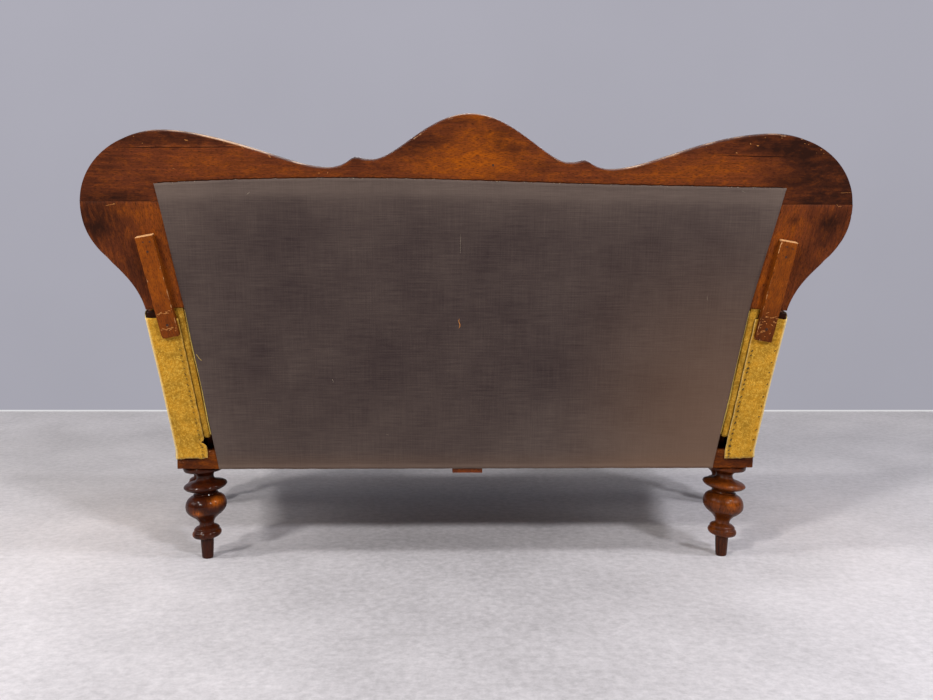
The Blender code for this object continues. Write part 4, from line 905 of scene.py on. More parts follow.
# Scratches: x, s, length, tilt and width
SCRATCHES = (
    (0.757, 0.5995, 0.022, -0.2, 0.0007), (0.748, 0.6015, 0.004, 0.5, 0.0011),
    (-0.802, 0.633, 0.024, 0.0, 0.0004), (-0.792, 0.603, 0.008, -0.2, 0.0006),
    (-0.786, 0.606, 0.003, 0.6, 0.0007), (0.62, 0.676, 0.006, 0.0, 0.0004),
    (0.30, 0.669, 0.003, 1.57, 0.0012), (0.318, 0.668, 0.003, 1.57, 0.0012),
    (-0.560, 0.716, 0.004, 0.3, 0.0014), (-0.604, 0.731, 0.005, 0.2, 0.0016),
    (-0.588, 0.735, 0.004, 1.2, 0.0013), (0.59, 0.735, 0.006, 0.3, 0.0014),
    (0.475, 0.7205, 0.006, 0.8, 0.0013), (0.420, 0.703, 0.007, 0.9, 0.0018),
)
# Old nail holes: x, s and radius
NAIL_HOLES = ((-0.047, 0.687, 0.0024), (-0.645, 0.640, 0.0012), (0.690, 0.5235, 0.0013))
SCRATCH_SHAKE = 0.0006


class SOFA_OT_board_marks(bpy.types.Operator):
    """Draw the scratches, glued joints and old nail holes of the back boards"""

    bl_idname = "sofa.board_marks"
    bl_label = "Scratches and joints"

    def execute(self, context):
        dice = random.Random(7)
        scratches = Shape()
        for scratch in SCRATCHES:
            self.scratch(scratches, dice, *scratch)
        self.glue_lines(dice)
        self.specks(scratches, dice, crest_line(context.scene.sofa_outline))
        scratches.make("board_scratches", ["chip"], (), "stained_wood")
        holes = Shape()
        for x, s, radius in NAIL_HOLES:
            holes.tube([on_back(x, s, -0.0002), on_back(x, s, 0.0004)], radius, 10)
        holes.make("old_nail_holes", ["iron"], (), "spring_steel")
        return {"FINISHED"}

    def scratch(self, scratches, dice, x, s, length, tilt, width):
        """One shaky scratch about its middle."""
        path = []
        for k in range(6):
            t = k / 5 - 0.5
            path.append(on_back(
                x + t * length * cos(tilt) + dice.uniform(-SCRATCH_SHAKE, SCRATCH_SHAKE),
                s + t * length * sin(tilt) + dice.uniform(-SCRATCH_SHAKE, SCRATCH_SHAKE), -0.0001))
        scratches.tube(path, tapered(width, 0.35, 1.3), 6)

    def glue_lines(self, dice):
        """The dark joints of the strips on the lobes, and the rubbed edge above the left one."""
        joints, rubs = Shape(), Shape()
        for side, ends in ((1, (0.472, 0.742)), (-1, (-0.520, -0.700))):
            dark_line, bright_line = [], []
            for k in range(61):
                x = ends[0] + (ends[1] - ends[0]) * k / 60
                s = glue_line(x) + 0.0006 * wobble(x * 40, GLUE_LEVEL[side])
                dark_line.append(on_back(x, s, 0.0002))
                bright_line.append(on_back(x, s + 0.0022 + 0.0008 * wobble(x * 25, 6.0), 0.0001))
            joints.tube(dark_line, tapered(0.0009, 0.3, 2.6), 6)
            first = 2
            while side > 0 and first < 50:
                last = first + dice.randrange(3, 14)
                rubs.tube(bright_line[first:last], tapered(0.0004, 0.2, 2.4), 5)
                first = last + dice.randrange(0, 5)
        joints.make("glue_lines", ["glue"], (), "stained_wood")
        rubs.make("rubbed_lines", ["scratch"], (), "stained_wood")

    def specks(self, scratches, dice, line):
        """Small pale chips along the top of the lobes."""
        for _ in range(16):
            side = dice.choice((1, 1, -1))
            x = side * dice.uniform(0.46, 0.76)
            top = next(s for (a, s), (b, _) in zip(line, line[1:]) if b <= abs(x) <= a)
            s = top - 0.0015 - 0.022 * dice.random() ** 2
            size = dice.uniform(0.0005, 0.0012) * (1 + (dice.random() < 0.15))
            middle = on_back(x + size, s + dice.uniform(-SCRATCH_SHAKE, SCRATCH_SHAKE), -0.0002)
            scratches.tube(
                [on_back(x, s, 0.0), middle, on_back(x + 2 * size, s, 0.0)], tapered(size, 0.3, 1.6), 5)


class SOFA_OT_face_band(bpy.types.Operator):
    """Draw the moulded show-wood band round the front of the back, with a carved cabochon"""

    bl_idname = "sofa.face_band"
    bl_label = "Face band"

    def execute(self, context):
        o = context.scene.sofa_outline
        outer = [(x, sawn(o, x, s)) for x, s in mirrored(wing_line(o) + crest_line(o))]
        inner = mirrored(wing_line(o, FACE_BAND) + crest_line(o, FACE_BAND))
        section = [
            (0.0, 0.0), (0.0, 0.006), (0.03, 0.0085), (0.08, 0.0095), (0.14, 0.0088), (0.18, 0.0062),
            (0.22, 0.0054), (0.36, 0.0060), (0.55, 0.0078), (0.68, 0.0092), (0.76, 0.0096), (0.80, 0.0080),
            (0.82, 0.0062), (0.86, 0.0062), (0.88, 0.0085), (0.92, 0.0105), (0.96, 0.0100), (1.0, 0.0070),
            (1.0, 0.0),
        ]
        base = BOARD + GAP
        band = Shape()
        rows, gone = [], 0.0
        for k, (a, b) in enumerate(zip(outer, inner)):
            if k:
                gone += (Vector(a) - Vector(outer[k - 1])).length
            rows.append([
                band.add(on_back(*mix(a, b, u), base + h), (gone, u * FACE_BAND + h)) for u, h in section
            ])
        band.skin([row + row[:1] for row in rows])
        band.face(rows[0])
        band.face(list(reversed(rows[-1])))
        peak = o.valley + o.peak_rise
        to_back = Matrix.Translation(on_back(0, peak - 0.045, base + 0.004)) @ Matrix.Rotation(
            pi / 2 + RAKE, 4, "X")
        oval = Matrix.Diagonal((1.35, 1.0, 1.0, 1.0))
        dome = [(0, 0.013), *((0.020 * sin(a), 0.002 + 0.011 * cos(a)) for a in (0.3, 0.6, 0.9, 1.2, 1.5)),
                (0.0215, 0.0015), (0.0225, 0.0055), (0.0250, 0.0075), (0.0275, 0.0055), (0.0285, -0.003)]
        band.turned(dome, to_back @ oval, 48)
        for side in (1, -1):
            for reach, rise, size in (
                (0.075, 0.018, 0.0060), (0.055, -0.020, 0.0050), (0.105, -0.002, 0.0055),
            ):
                stem = bezier((0.030, 0), (0.030 + 0.5 * reach, 1.2 * rise), (0.03 + reach, 1.4 * rise),
                              (0.03 + reach, 0.2 * rise), 18)
                path = [on_back(side * x, peak - 0.045 + s - 0.12 * x, base + 0.008) for x, s in stem]
                band.tube(path, lambda t, w=size: w * (0.3 + sin(pi * min(t * 0.8 + 0.15, 1))))
        band.make("face_band", ["mahogany"], ["crest_facing"], "polished_mahogany", 55)
        return {"FINISHED"}


# Legs and seat frame

def leg_profile():
    """Radius and height of the turned leg, from the seat frame down to the floor."""
    line = [(0.0, 0.2207), (0.0415, 0.2207)]
    line += arc((0.0408, 0.2138), (0.0050, 0.0068), pi / 2, -pi / 2, 10)
    line += bezier((0.0408, 0.2070), (0.0320, 0.2058), (0.0205, 0.2035), (0.0192, 0.1955), 10)
    line += bezier((0.0192, 0.1955), (0.0186, 0.1890), (0.0210, 0.1845), (0.0300, 0.1825), 8)
    line += bezier((0.0300, 0.1825), (0.0400, 0.1805), (0.0470, 0.1780), (0.0488, 0.1745), 8)
    line += arc((0.0475, 0.1722), (0.0020, 0.0026), pi / 2.6, -pi / 2.4, 6)
    line += bezier((0.0484, 0.1698), (0.0460, 0.1650), (0.0380, 0.1620), (0.0285, 0.1606), 8)
    line += bezier((0.0285, 0.1606), (0.0245, 0.1600), (0.0240, 0.1570), (0.0245, 0.1550), 5)
    line += arc((0.0250, 0.1528), (0.0032, 0.0022), pi / 2, -pi / 2, 6)
    line += bezier((0.0250, 0.1506), (0.0400, 0.1490), (0.0470, 0.1390), (0.0470, 0.1250), 12)
    line += bezier((0.0470, 0.1250), (0.0470, 0.1040), (0.0215, 0.1010), (0.0170, 0.0850), 16)
    line += bezier((0.0170, 0.0850), (0.0162, 0.0815), (0.0165, 0.0800), (0.0180, 0.0785), 4)
    line += bezier((0.0180, 0.0785), (0.0250, 0.0760), (0.0290, 0.0730), (0.0296, 0.0690), 6)
    line += [(0.0290, 0.0676), (0.0296, 0.0668)]
    line += bezier((0.0296, 0.0668), (0.0335, 0.0640), (0.0345, 0.0590), (0.0320, 0.0545), 8)
    line += bezier((0.0320, 0.0545), (0.0290, 0.0490), (0.0200, 0.0480), (0.0155, 0.0470), 6)
    line += [(0.0152, 0.0455), (0.0150, 0.040), (0.0142, 0.022), (0.0131, 0.0035), (0.0126, 0.0012),
             (0.0114, 0.0), (0.0, 0.0)]
    return line


class SOFA_OT_legs(bpy.types.Operator):
    """Turn the four legs: collar, disc, bulb, ring and peg"""

    bl_idname = "sofa.legs"
    bl_label = "Turned legs"

    def execute(self, context):
        sides = context.scene.sofa_soft.turned_sides
        for end in ("rear", "front"):
            for side, word in SIDES:
                name = f"{end}_leg_{word}"
                low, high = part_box(name)
                y = (low.y + high.y) / 2
                foot_x = side * (LEG_X[end] + (Y_BACK - y) * tan(FLARE) - LEG_SPLAY)
                # The old rear legs are turned out of true: their discs hang lower on the outside
                tilt = LEG_TILT.get(name, 0.0)
                leg = Shape()
                leg.turned(leg_profile(), Matrix.Identity(4), sides)
                for number, (x, dy, z) in enumerate(leg.points):
                    true = smooth(0.0, 0.045, z) * smooth(0.2207, 0.196, z)
                    collar = 0.0035 * smooth(0.197, 0.206, z) if tilt else 0.0
                    across = side * (LEG_SPLAY * z / FRAME_BOTTOM + collar) + x
                    leg.points[number] = (foot_x + across, y + dy, z - side * x * tilt * true)
                    soaked = 0.6 * max(wobble(x * 40, z * 60, 3.0 + dy * 40), 0)
                    soaked += (0.15 if side > 0 else 0.5) * smooth(0.048, 0.040, z)
                    # The glow mark on the legs carries painted glints
                    leg.mark(number, glow=self.polish(word, side * x, dy, z), stain=soaked)
                leg.make(f"turned_{name}", ["leg"], [name], "polished_mahogany", 35)
        return {"FINISHED"}

    def polish(self, word, outwards, dy, z):
        """Painted glints in the glow mark: orange patches on the bulb on the half that faces the camera, a
        band round the ring, and a lighter tone evenly over the right leg.
        """
        # Painted glints: these spots stand for reflections in the shellac, not for polish rubbed thin
        spots = ((-0.030, 0.137, 0.012, 0.009, 1.0), (0.012, 0.115, 0.010, 0.007, 0.75))
        even = 0.0
        if word == "right":
            spots = ((0.010, 0.132, 0.024, 0.015, 0.42), (0.004, 0.172, 0.040, 0.006, 0.25))
            even = 0.10
        rubbed = sum(
            amount * exp(-((outwards - at) / wide) ** 2 - ((z - level) / high) ** 2)
            for at, level, wide, high, amount in spots)
        ring = 0.35 * exp(-((z - 0.058) / 0.012) ** 2)
        uneven = max(wobble(outwards * 60, dy * 60, z * 40), 0)
        return (rubbed if dy > -0.01 else 0.0) + even + ring * uneven


class SOFA_OT_seat_frame(bpy.types.Operator):
    """Finish the rails and posts, ease the side rails and put beads on the show wood"""

    bl_idname = "sofa.seat_frame"
    bl_label = "Seat frame"

    def execute(self, context):
        for name, kind in (
            ("rear_seat_rail", "rail"), ("back_tack_rail", "rail"), ("front_seat_rail", "rail"),
            ("back_centre_post", "post"), ("centre_slat", "side_rail"), ("front_apron", "mahogany_level"),
            *((f"{part}_{word}", kind) for _, word in SIDES for part, kind in (
                ("side_tack_strip", "side_rail"), ("arm_rear_post", "end_grain"), ("arm_front_post", "post"),
                ("arm_top_rail", "side_rail"), ("arm_facing", "mahogany_upright"))),
        ):
            materials = NODES[name].data.materials
            materials.clear()
            materials.append(finish(kind))
        for side, word in SIDES:
            self.side_rail(side, word)
            self.facing_trim(side, word)
        self.apron_bead()
        return {"FINISHED"}

    def side_rail(self, side, word):
        """A side rail with eased edges. On the block that its rear end makes, painted shade darkens the part
        under the velvet over the stain, and painted light brightens the inner step.
        """
        corners = []
        for end in (rear_y, lambda z: Y_FRAME_FRONT):
            for x, z in (
                (SIDE_RAIL_INNER, FRAME_BOTTOM), (SIDE_RAIL_OUTER, FRAME_BOTTOM),
                (SIDE_RAIL_OUTER, SIDE_RAIL_TOP), (SIDE_RAIL_INNER, SIDE_RAIL_TOP),
            ):
                corners.append(on_side(side, arm_point(x, end(z), z)))
        rail = Shape()
        rail.bar(corners, 0.0011, 0.0012, 3.0 * side)
        for number, (x, y, z) in enumerate(rail.points):
            if y > rear_y(z) - 0.004:
                rail.grain[number] = (x, z)
                step = smooth(0.014, 0.008, abs(x - side * SIDE_RAIL_INNER))
                above = smooth(FRAME_BOTTOM + 0.006, FRAME_BOTTOM + 0.014, z)
                # Painted shade under the velvet's edge, added to the block's stain
                soaked = 0.5 - 0.1 * side + 0.45 * (1 - step) * above
                # Painted light on the inner step, in the glow mark
                rail.mark(number, glow=0.6 * step + 0.25, stain=soaked)
                if step > 0.5 and z > SIDE_RAIL_TOP - 0.004:
                    rail.mark(number, worn=0.28)
        rail.make(f"side_rail_block_{word}", ["board"], [f"side_rail_{word}"], "stained_wood", 50)

    def facing_trim(self, side, word):
        """The bead and the turned rosette of an arm facing."""
        trim = Shape()
        trim.tube(self.scroll(side), BEAD, 10)
        at = arm_point(SCROLL_X, Y_FRONT, ARM_TOP + 0.002)
        turn = Matrix.Translation((side * at.x, Y_FRONT + 0.001, at.z)) @ Matrix.Rotation(pi / 2, 4, "X")
        rosette = [(0, 0.0085), (0.004, 0.0080), (0.007, 0.0055), (0.0085, 0.0040), (0.0105, 0.0062),
                   (0.0145, 0.0070), (0.0185, 0.0050), (0.0200, 0.0030), (0.0220, 0.0048),
                   (0.0245, 0.0035), (0.0255, 0.0)]
        trim.turned(rosette, turn, 48)
        trim.make(f"arm_facing_moulding_{word}", ["mahogany"], (), "polished_mahogany")

    def scroll(self, side):
        """The line of the bead that goes round an arm facing."""
        radius = POST_OUTER + 0.004 - SCROLL_X - 0.006
        neck = POST_INNER - 0.009 + 0.007
        knee = SIDE_RAIL_TOP + 0.080
        line = [(SIDE_RAIL_OUTER - 0.007, FRAME_BOTTOM + 0.006), (POST_OUTER - 0.003, ARM_TOP - 0.1)]
        line += arc((SCROLL_X, ARM_TOP), (radius, 0.044), 0, pi, 30)
        inner = SCROLL_X - radius
        turn = ARM_TOP - 0.05
        line += bezier((inner, ARM_TOP), (inner, turn), (neck, turn), (neck, ARM_TOP - 0.12), 12)
        line += bezier((neck, ARM_TOP - 0.12), (neck, knee), (SIDE_RAIL_INNER + 0.007, knee),
                       (SIDE_RAIL_INNER + 0.007, SIDE_RAIL_TOP), 14)
        line.append((SIDE_RAIL_INNER + 0.007, FRAME_BOTTOM + 0.006))
        spots = [arm_point(x, Y_FRONT, z) for x, z in line]
        return [(side * p.x, Y_FRONT - 0.0005, p.z) for p in spots]

    def apron_bead(self):
        """The bead along the wavy lower edge of the apron."""
        low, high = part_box("front_apron")
        half = high.x
        wave = bezier((half, 0), (0.85 * half, -0.014), (0.75 * half, 0.0175), (0.5 * half, 0), 40)
        wave += bezier((0.5 * half, 0), (0.33 * half, -0.0175), (0.2 * half, -0.035), (0, -0.035), 40)
        wave.append((0, -0.035))
        bead = Shape()
        bead.tube([(x, low.y, FRAME_BOTTOM + 0.006 + s) for x, s in mirrored(wave)], BEAD, 10)
        bead.make("apron_bead", ["mahogany"], (), "polished_mahogany")


# Cloth over the open back

def cloth_top(o):
    """The corners of the back cloth, up the back."""
    return o.valley - o.joint_drop + 0.0367


def cloth_edge(side, s, o):
    """Half width of the back cloth at s, on one side."""
    knee = o.wing_foot - 0.005
    knee_x = arm_x_on_back(STILE_EDGE, knee) + 0.0022
    top = cloth_top(o)
    corner = arm_x_on_back(STILE_EDGE, top) + 0.0166
    if s < knee:
        return SIDE_RAIL_INNER + (knee_x - SIDE_RAIL_INNER) * (s - 0.001) / (knee - 0.001)
    drift = -0.005 * side * smooth(knee, top, s)
    return knee_x + (corner - knee_x) * (s - knee) / (top - knee) + drift


class SOFA_OT_back_cloth(bpy.types.Operator):
    """Stretch the taupe cloth over the open back, with its hem and frayed top"""

    bl_idname = "sofa.back_cloth"
    bl_label = "Back cloth"

    def execute(self, context):
        soft = context.scene.sofa_soft
        sheet, crown = self.sheet(context.scene.sofa_outline, soft)
        fray = self.frays(crown, soft)
        # A thin dark tube on the boards just above the cloth's upper edge
        dark_edge = Shape()
        edge = [on_back(p.x, (p.z - FRAME_BOTTOM) / cos(RAKE) + 0.0016, 0.0003) for p in crown[1:-1]]
        dark_edge.tube(edge, 0.0008, 6)
        dark_edge.make("cloth_edge_dark_line", ["glue"], (), "stained_wood")
        nick = self.nick(soft)
        return {"FINISHED"}

    def sheet(self, o, soft):
        """The cloth, which gives between the boards, and the points of its frayed upper edge."""
        top = cloth_top(o)
        wide, high = 180, 96
        cloth = Shape()
        rows = []
        for j in range(high + 1):
            v = j / high
            v = v - 0.03 * sin(2 * pi * v) / (2 * pi)
            row = []
            for i in range(wide + 1):
                u = 2 * i / wide - 1
                rough = 0.0009 * wobble(u * 60, 3.3) + 0.0006 * wobble(u * 190, 8.1)
                crown = top + 0.0118 * (1 - abs(u) ** 2.3) + 0.0017 * u + rough
                crown += 0.0048 * sin(pi * u) - 0.0010 * (1 - u * u)
                low = 0.001 + 0.0006 * wobble(u * 20, 1.7)
                s = low + (crown - low) * v
                left, right = cloth_edge(1, min(s, top), o), cloth_edge(-1, min(s, top), o)
                x = (left + right) * (u + 1) / 2 - right
                sag = soft.cloth_sag * sin(pi * (u + 1) / 2) ** 0.7 * sin(pi * v) ** 0.6
                near_top = exp(-(crown - s) / 0.020)
                near_side = exp(-(1 - abs(u)) / 0.02)
                pull = 0.0005 * near_top * wobble(u * 26, 5.0) + 0.0005 * near_side * wobble(s * 34, 6.0)
                turned = 0.0016 * (exp(-((crown - s) / 0.004) ** 2) + exp(-((1 - abs(u)) / 0.004) ** 2)
                                   + exp(-((s - low) / 0.005) ** 2))
                band = 0.34 * smooth(0.050, 0.022, crown - s) * (1 + 0.5 * wobble(u * 4, 1.0))
                band += 0.24 * smooth(0.13, 0.02, crown - s)
                hem = smooth(0.010, 0.004, s - low) * 0.5
                edge_light = exp(-(1 - abs(u)) / 0.10) * 0.22
                low_light = smooth(0.35, 0.0, v) * (0.20 + 0.25 * smooth(-0.1, 1.0, -u))
                brown = smooth(1.0, 0.1, v) * smooth(0.25, 1.0, -u) * 0.6 + smooth(0.08, 0.0, v) * 0.25
                row.append(cloth.add(
                    on_back(x, s, -0.0019 - turned - pull + sag), (x, s),
                    fade=band + hem + edge_light + low_light - 0.06, brown=min(brown, 0.7)))
            rows.append(row)
        cloth.skin(rows)
        sheet = cloth.make("back_cloth_sheet", ["cloth"], ["back_cloth"], "taupe_cloth", 60)
        thicken(sheet, "Cloth", CLOTH_THICK, 0)
        return sheet, [Vector(cloth.points[k]) for k in rows[-1]]

    def frays(self, crown, soft):
        """Frayed ends along the upper edge, and loose threads on the cloth."""
        frays = Shape()
        dice = random.Random(21)
        up = on_back(0, 1) - on_back(0, 0)
        out = on_back(0, 0, -1) - on_back(0, 0, 0)
        for _ in range(70):
            spot = crown[dice.randrange(len(crown))].copy()
            spot.x += dice.uniform(-0.004, 0.004)
            lean = dice.uniform(-3.0, 3.0)
            length = dice.uniform(0.0008, 0.0022)
            spot -= up * 0.0008
            path = [
                spot + up * length * t + Vector((length * lean * t, 0, 0)) + out * 0.0008
                for t in (0, 0.3, 0.6, 1.0)
            ]
            frays.tube(path, lambda t: 0.00035 * (1 - 0.6 * t), 4)
        for x, s, length, tilt in (
            (0.467, 0.6255, 0.010, -0.7), (0.180, 0.082, 0.006, 0.3), (0.02, 0.520, 0.045, 1.57),
            (0.30, 0.21, 0.008, 1.2), (-0.56, 0.32, 0.010, 0.1), (-0.52, 0.40, 0.010, 1.5),
            (-0.58, 0.635, 0.012, 0.4),
        ):
            sag_n = soft.cloth_sag * sin(pi * (x / 0.64 + 1) / 2) ** 0.7 * sin(pi * s / 0.655) ** 0.6
            path = [
                on_back(x + t * length * cos(tilt), s + t * length * sin(tilt), -0.0026 + sag_n)
                for t in (-0.5, -0.25, 0, 0.25, 0.5)
            ]
            frays.tube(path, tapered(0.00022, 0.4, 2.4), 4)
        return frays.make("cloth_frays", ["thread"], (), "taupe_cloth")

    def nick(self, soft):
        """The short tear near the middle of the cloth."""
        sag = soft.cloth_sag * 0.92
        tear = Shape()
        tear.tube(
            [on_back(0.021 + 0.0014 * sin(7 * t), 0.352 - 0.022 * t, -0.0022 + sag)
             for t in (0, 0.2, 0.4, 0.6, 0.8, 1)],
            tapered(0.0011, 0.25, 3.0), 6)
        return tear.make("cloth_nick", ["chip"], (), "taupe_cloth")


# Velvet on the outside of the arms

class SOFA_OT_outside_arms(bpy.types.Operator):
    """Stretch the outside velvet round the arm posts, with its stitches, tails and cords"""

    bl_idname = "sofa.outside_arms"
    bl_label = "Outside arm velvet"

    def execute(self, context):
        o = context.scene.sofa_outline
        soft = context.scene.sofa_soft
        for side, word in SIDES:
            self.cover(side, word, soft)
            self.tail(side, word, o, soft)
        return {"FINISHED"}

    def cover(self, side, word, soft):
        """One sheet from the return's inner edge, round the post and forwards to the facing."""
        low, top = SIDE_RAIL_TOP - 0.0205, ARM_TOP - 0.0114
        rise = 70
        across = 26
        forwards = 40
        sheet = Shape()
        rows = []
        for j in range(rise + 1):
            v = j / rise
            row = []
            for i in range(across + forwards + 1):
                u = min(i / across, 1.0)
                f = max(i - across, 0) / forwards
                ragged = 0.0016 * wobble(u * 7 + side, f * 9, 2.0) + 0.0009 * wobble(u * 31, f * 40, 5.0)
                foot = low + ragged + (0.0035 * sin(pi * u) if side > 0 else 0.002 * u)
                head = top + 0.0016 * wobble(u * 6, f * 8, 7.0 + side) + 0.0114 * smooth(0.0, 0.04, f)
                if side > 0 and u < 0.16:
                    foot += 0.004 * smooth(0.16, 0.05, u)
                z = foot + (head - foot) * v
                puff = 0.0032 + 0.0022 * sin(pi * min(max(u, 0.02), 1)) ** 0.5
                puff += 0.0007 * wobble(u * 9, v * 26, side)
                puff -= 0.0018 * exp(-((u - 0.13) / 0.03) ** 2)
                hem = 0.0012 * exp(-((v * (top - low)) / 0.007) ** 2)
                x_in = POST_INNER - 0.0035 + 0.0012 * wobble(v * 14, 3.0 + side)
                if side > 0:
                    x_in += 0.0085 * exp(-((z - low - 0.041) / 0.0036) ** 2)
                    x_in -= 0.0022 * smooth(0.036, 0.03, z - low)
                x_out = POST_OUTER + 0.0028 + 0.0022 * smooth(0.5, 1.0, v)
                if f == 0:
                    bend = smooth(0.93, 1.0, u)
                    x = x_in + (x_out - x_in) * u
                    edge = smooth(0.0, 0.05, u)
                    out = 0.0006 + (puff + hem) * (1 - bend) * (0.7 + 0.3 * edge)
                    spot = arm_point(x, rear_y(z, -out), z)
                else:
                    rear = rear_y(z, -0.0006)
                    y = rear + (Y_FRAME_FRONT + 0.001 - rear) * f
                    lap = 0.0016 * smooth(SIDE_RAIL_TOP + 0.004, SIDE_RAIL_TOP - 0.002, z)
                    bulge = 0.003 * sin(pi * f) * sin(pi * v) + 0.0006 * wobble(f * 30, v * 16, side)
                    spot = arm_point(x_out + lap + bulge, y, z)
                # Darker along the foot, with painted shade in the crease by the stitches and where the head
                # rises above the top beside the post
                soil = 0.35 * exp(-(v * (top - low)) / 0.006) * (0.4 + 0.6 * max(wobble(u * 13, 2.0), 0))
                soil += 0.25 * exp(-((u - 0.13) / 0.03) ** 2) if f == 0 else 0
                soil += 0.95 * smooth(top - 0.001, top + 0.003, z) * smooth(0.25, 0.15, f) if f else 0
                # Painted highlight where the velvet turns round the post, along its inner edge and along its
                # foot
                lit = 0.6 * smooth(0.93, 0.99, u) * smooth(0.02, 0.0, f)
                lit += (0.10 if side > 0 else 0.3) * smooth(0.05, 0.0, u)
                lit += 0.4 * smooth(0.012, 0.004, v) * max(wobble(u * 22, side) + 0.3, 0)
                row.append(sheet.add(on_side(side, spot), soil=max(soil, 0.0), pale=min(lit, 0.9)))
            rows.append(row)
        sheet.skin(rows)
        cover = sheet.make(
            f"outside_arm_velvet_{word}", ["velvet"], [f"outside_arm_cover_{word}"],
            "yellow_velvet", 60)
        thicken(cover, "Velvet", VELVET_THICK, -1)
        sewn = self.stitches(side, word, low, top, soft)

    def stitches(self, side, word, low, top, soft):
        """Stitches down the edges of the return and along its foot."""
        stitches = Shape()
        dice = random.Random(40 + side)
        height = top - low

        def stitch(u, v, tilt, length):
            z = low + height * v
            x = POST_INNER + (POST_OUTER + 0.0028 - POST_INNER) * u
            path = []
            for t in (-0.5, -0.2, 0.2, 0.5):
                zz = z + t * length * sin(tilt)
                n = -0.0046 - 0.0008 * (1 - 4 * t * t)
                spot = arm_point(x + t * length * cos(tilt), rear_y(zz, n), zz)
                path.append(on_side(side, spot))
            stitches.tube(path, 0.0006 if side > 0 else 0.0011, 6)

        count = int(height / soft.stitch)
        for k in range(count):
            v = (k + 0.5 + dice.uniform(-0.2, 0.2)) / count
            if v > 0.80:
                continue
            u = (0.10 if side > 0 else 0.075) + dice.uniform(-0.012, 0.012)
            stitch(u, v, dice.uniform(0.5, 1.2), dice.uniform(0.003, 0.0055))
            if side < 0 and k % 2:
                stitch(0.86 + dice.uniform(-0.02, 0.02), v, dice.uniform(0.2, 1.4), 0.0035)
        for u, v in ((0.10, 0.035), (0.30, 0.012), (0.55, 0.014), (0.08, 0.09)):
            stitch(u, v, dice.uniform(-0.3, 0.4), 0.006)
        return stitches.make(f"arm_velvet_stitches_{word}", ["stitch"], (), "yellow_velvet")

    def tail(self, side, word, o, soft):
        """The rolled end of the inside velvet, pulled through beside the back post."""
        foot = FRAME_BOTTOM + 0.0705
        head = FRAME_BOTTOM + o.wing_foot * cos(RAKE) - 0.0006
        inner, outer = TAIL_INNER, POST_INNER - 0.0006
        middle, half = (inner + outer) / 2, (outer - inner) / 2
        roll = Shape()
        rows = []
        rise, round_it = 64, 28
        for j in range(rise + 1):
            v = j / rise
            z = foot + (head - foot) * v
            close = sqrt(max(1 - (1 - min(v / 0.035, 1.0)) ** 2, 0.0)) if v < 0.035 else 1.0
            row = []
            for k in range(round_it):
                a = 2 * pi * k / round_it
                fold = 1 + 0.05 * wobble(v * 22, 2.0 * cos(a), side)
                fold += 0.03 * wobble(v * 60, 5 * sin(a), 3.0)
                crease = 0.0022 * exp(-((a - 1.9) / 0.25) ** 2) * smooth(0.0, 0.2, v)
                flat = abs(cos(a)) ** 0.55 * (1 if cos(a) > 0 else -1)
                deep = abs(sin(a)) ** 0.75 * (1 if sin(a) > 0 else -1)
                spill = smooth(0.905, 0.93, v)
                x = middle + half * close * (flat + 0.5 * (fold - 1)) + 0.0065 * spill * max(flat, 0) ** 2
                n = 0.0145 - 0.0145 * close * deep * fold + crease - 0.0030 * spill * max(deep, 0)
                spot = arm_point(x, rear_y(z, n), z)
                # Painted shade: darker at the head where the roll goes in and on the side turned forwards,
                # away from the camera; a little darker all over, more on the left tail
                row.append(roll.add(
                    on_side(side, spot),
                    soil=0.5 * smooth(0.965, 1.0, v) + 0.25 * smooth(0.0, -1.0, sin(a))
                    + (0.14 if side > 0 else 0.06)))
            rows.append(row)
        # The inside of the roll's mouth is painted dark as painted shade
        inside = []
        for depth in (0.0, 0.012, 0.030):
            row = []
            z = head - depth
            for k in range(round_it):
                a = 2 * pi * k / round_it
                spot = arm_point(middle + half * 0.66 * cos(a), rear_y(z, 0.0145 - 0.0085 * sin(a)), z)
                row.append(roll.add(on_side(side, spot), soil=0.9))
            inside.append(row)
        roll.skin(rows + inside, 0, True)
        roll.face(rows[0])
        roll.face(inside[-1])
        pad = roll.make(
            f"arm_velvet_tail_{word}", ["velvet"], [f"arm_cover_tail_{word}"], "yellow_velvet", 60)
        self.cord(side, word, foot, head, soft)

    def cord(self, side, word, foot, head, soft):
        """The cord beside a tail, and its loose ends."""
        cords = Shape()
        path = []
        for k in range(60):
            t = k / 59
            z = foot + 0.012 + (head - foot - 0.016) * t
            x = TAIL_INNER - 0.0012 + 0.0008 * sin(9 * t + side)
            spot = arm_point(x, rear_y(z, -0.0012 + 0.0012 * cos(14 * t)), z)
            path.append(on_side(side, spot))
        cords.tube(path, soft.cord, 8)
        if side > 0:
            start = Vector(path[37])
            loose = [
                start + Vector((-0.004 * t - 0.012 * t * t, 0.004 * t, 0.007 * sin(4.4 * t)))
                for t in (0, 0.2, 0.4, 0.6, 0.8, 1.0)
            ]
            cords.tube(loose, 0.0004, 5)
        else:
            for k in (8, 14, 21):
                start = Vector(path[k])
                bend = start + Vector((0.003, 0.003, 0.012))
                end = start + Vector((0.005, 0.002, 0.026))
                cords.tube([start, bend, end], 0.0006, 5)
        cords.make(f"arm_velvet_cord_{word}", ["cord"], (), "yellow_velvet")


# Battens

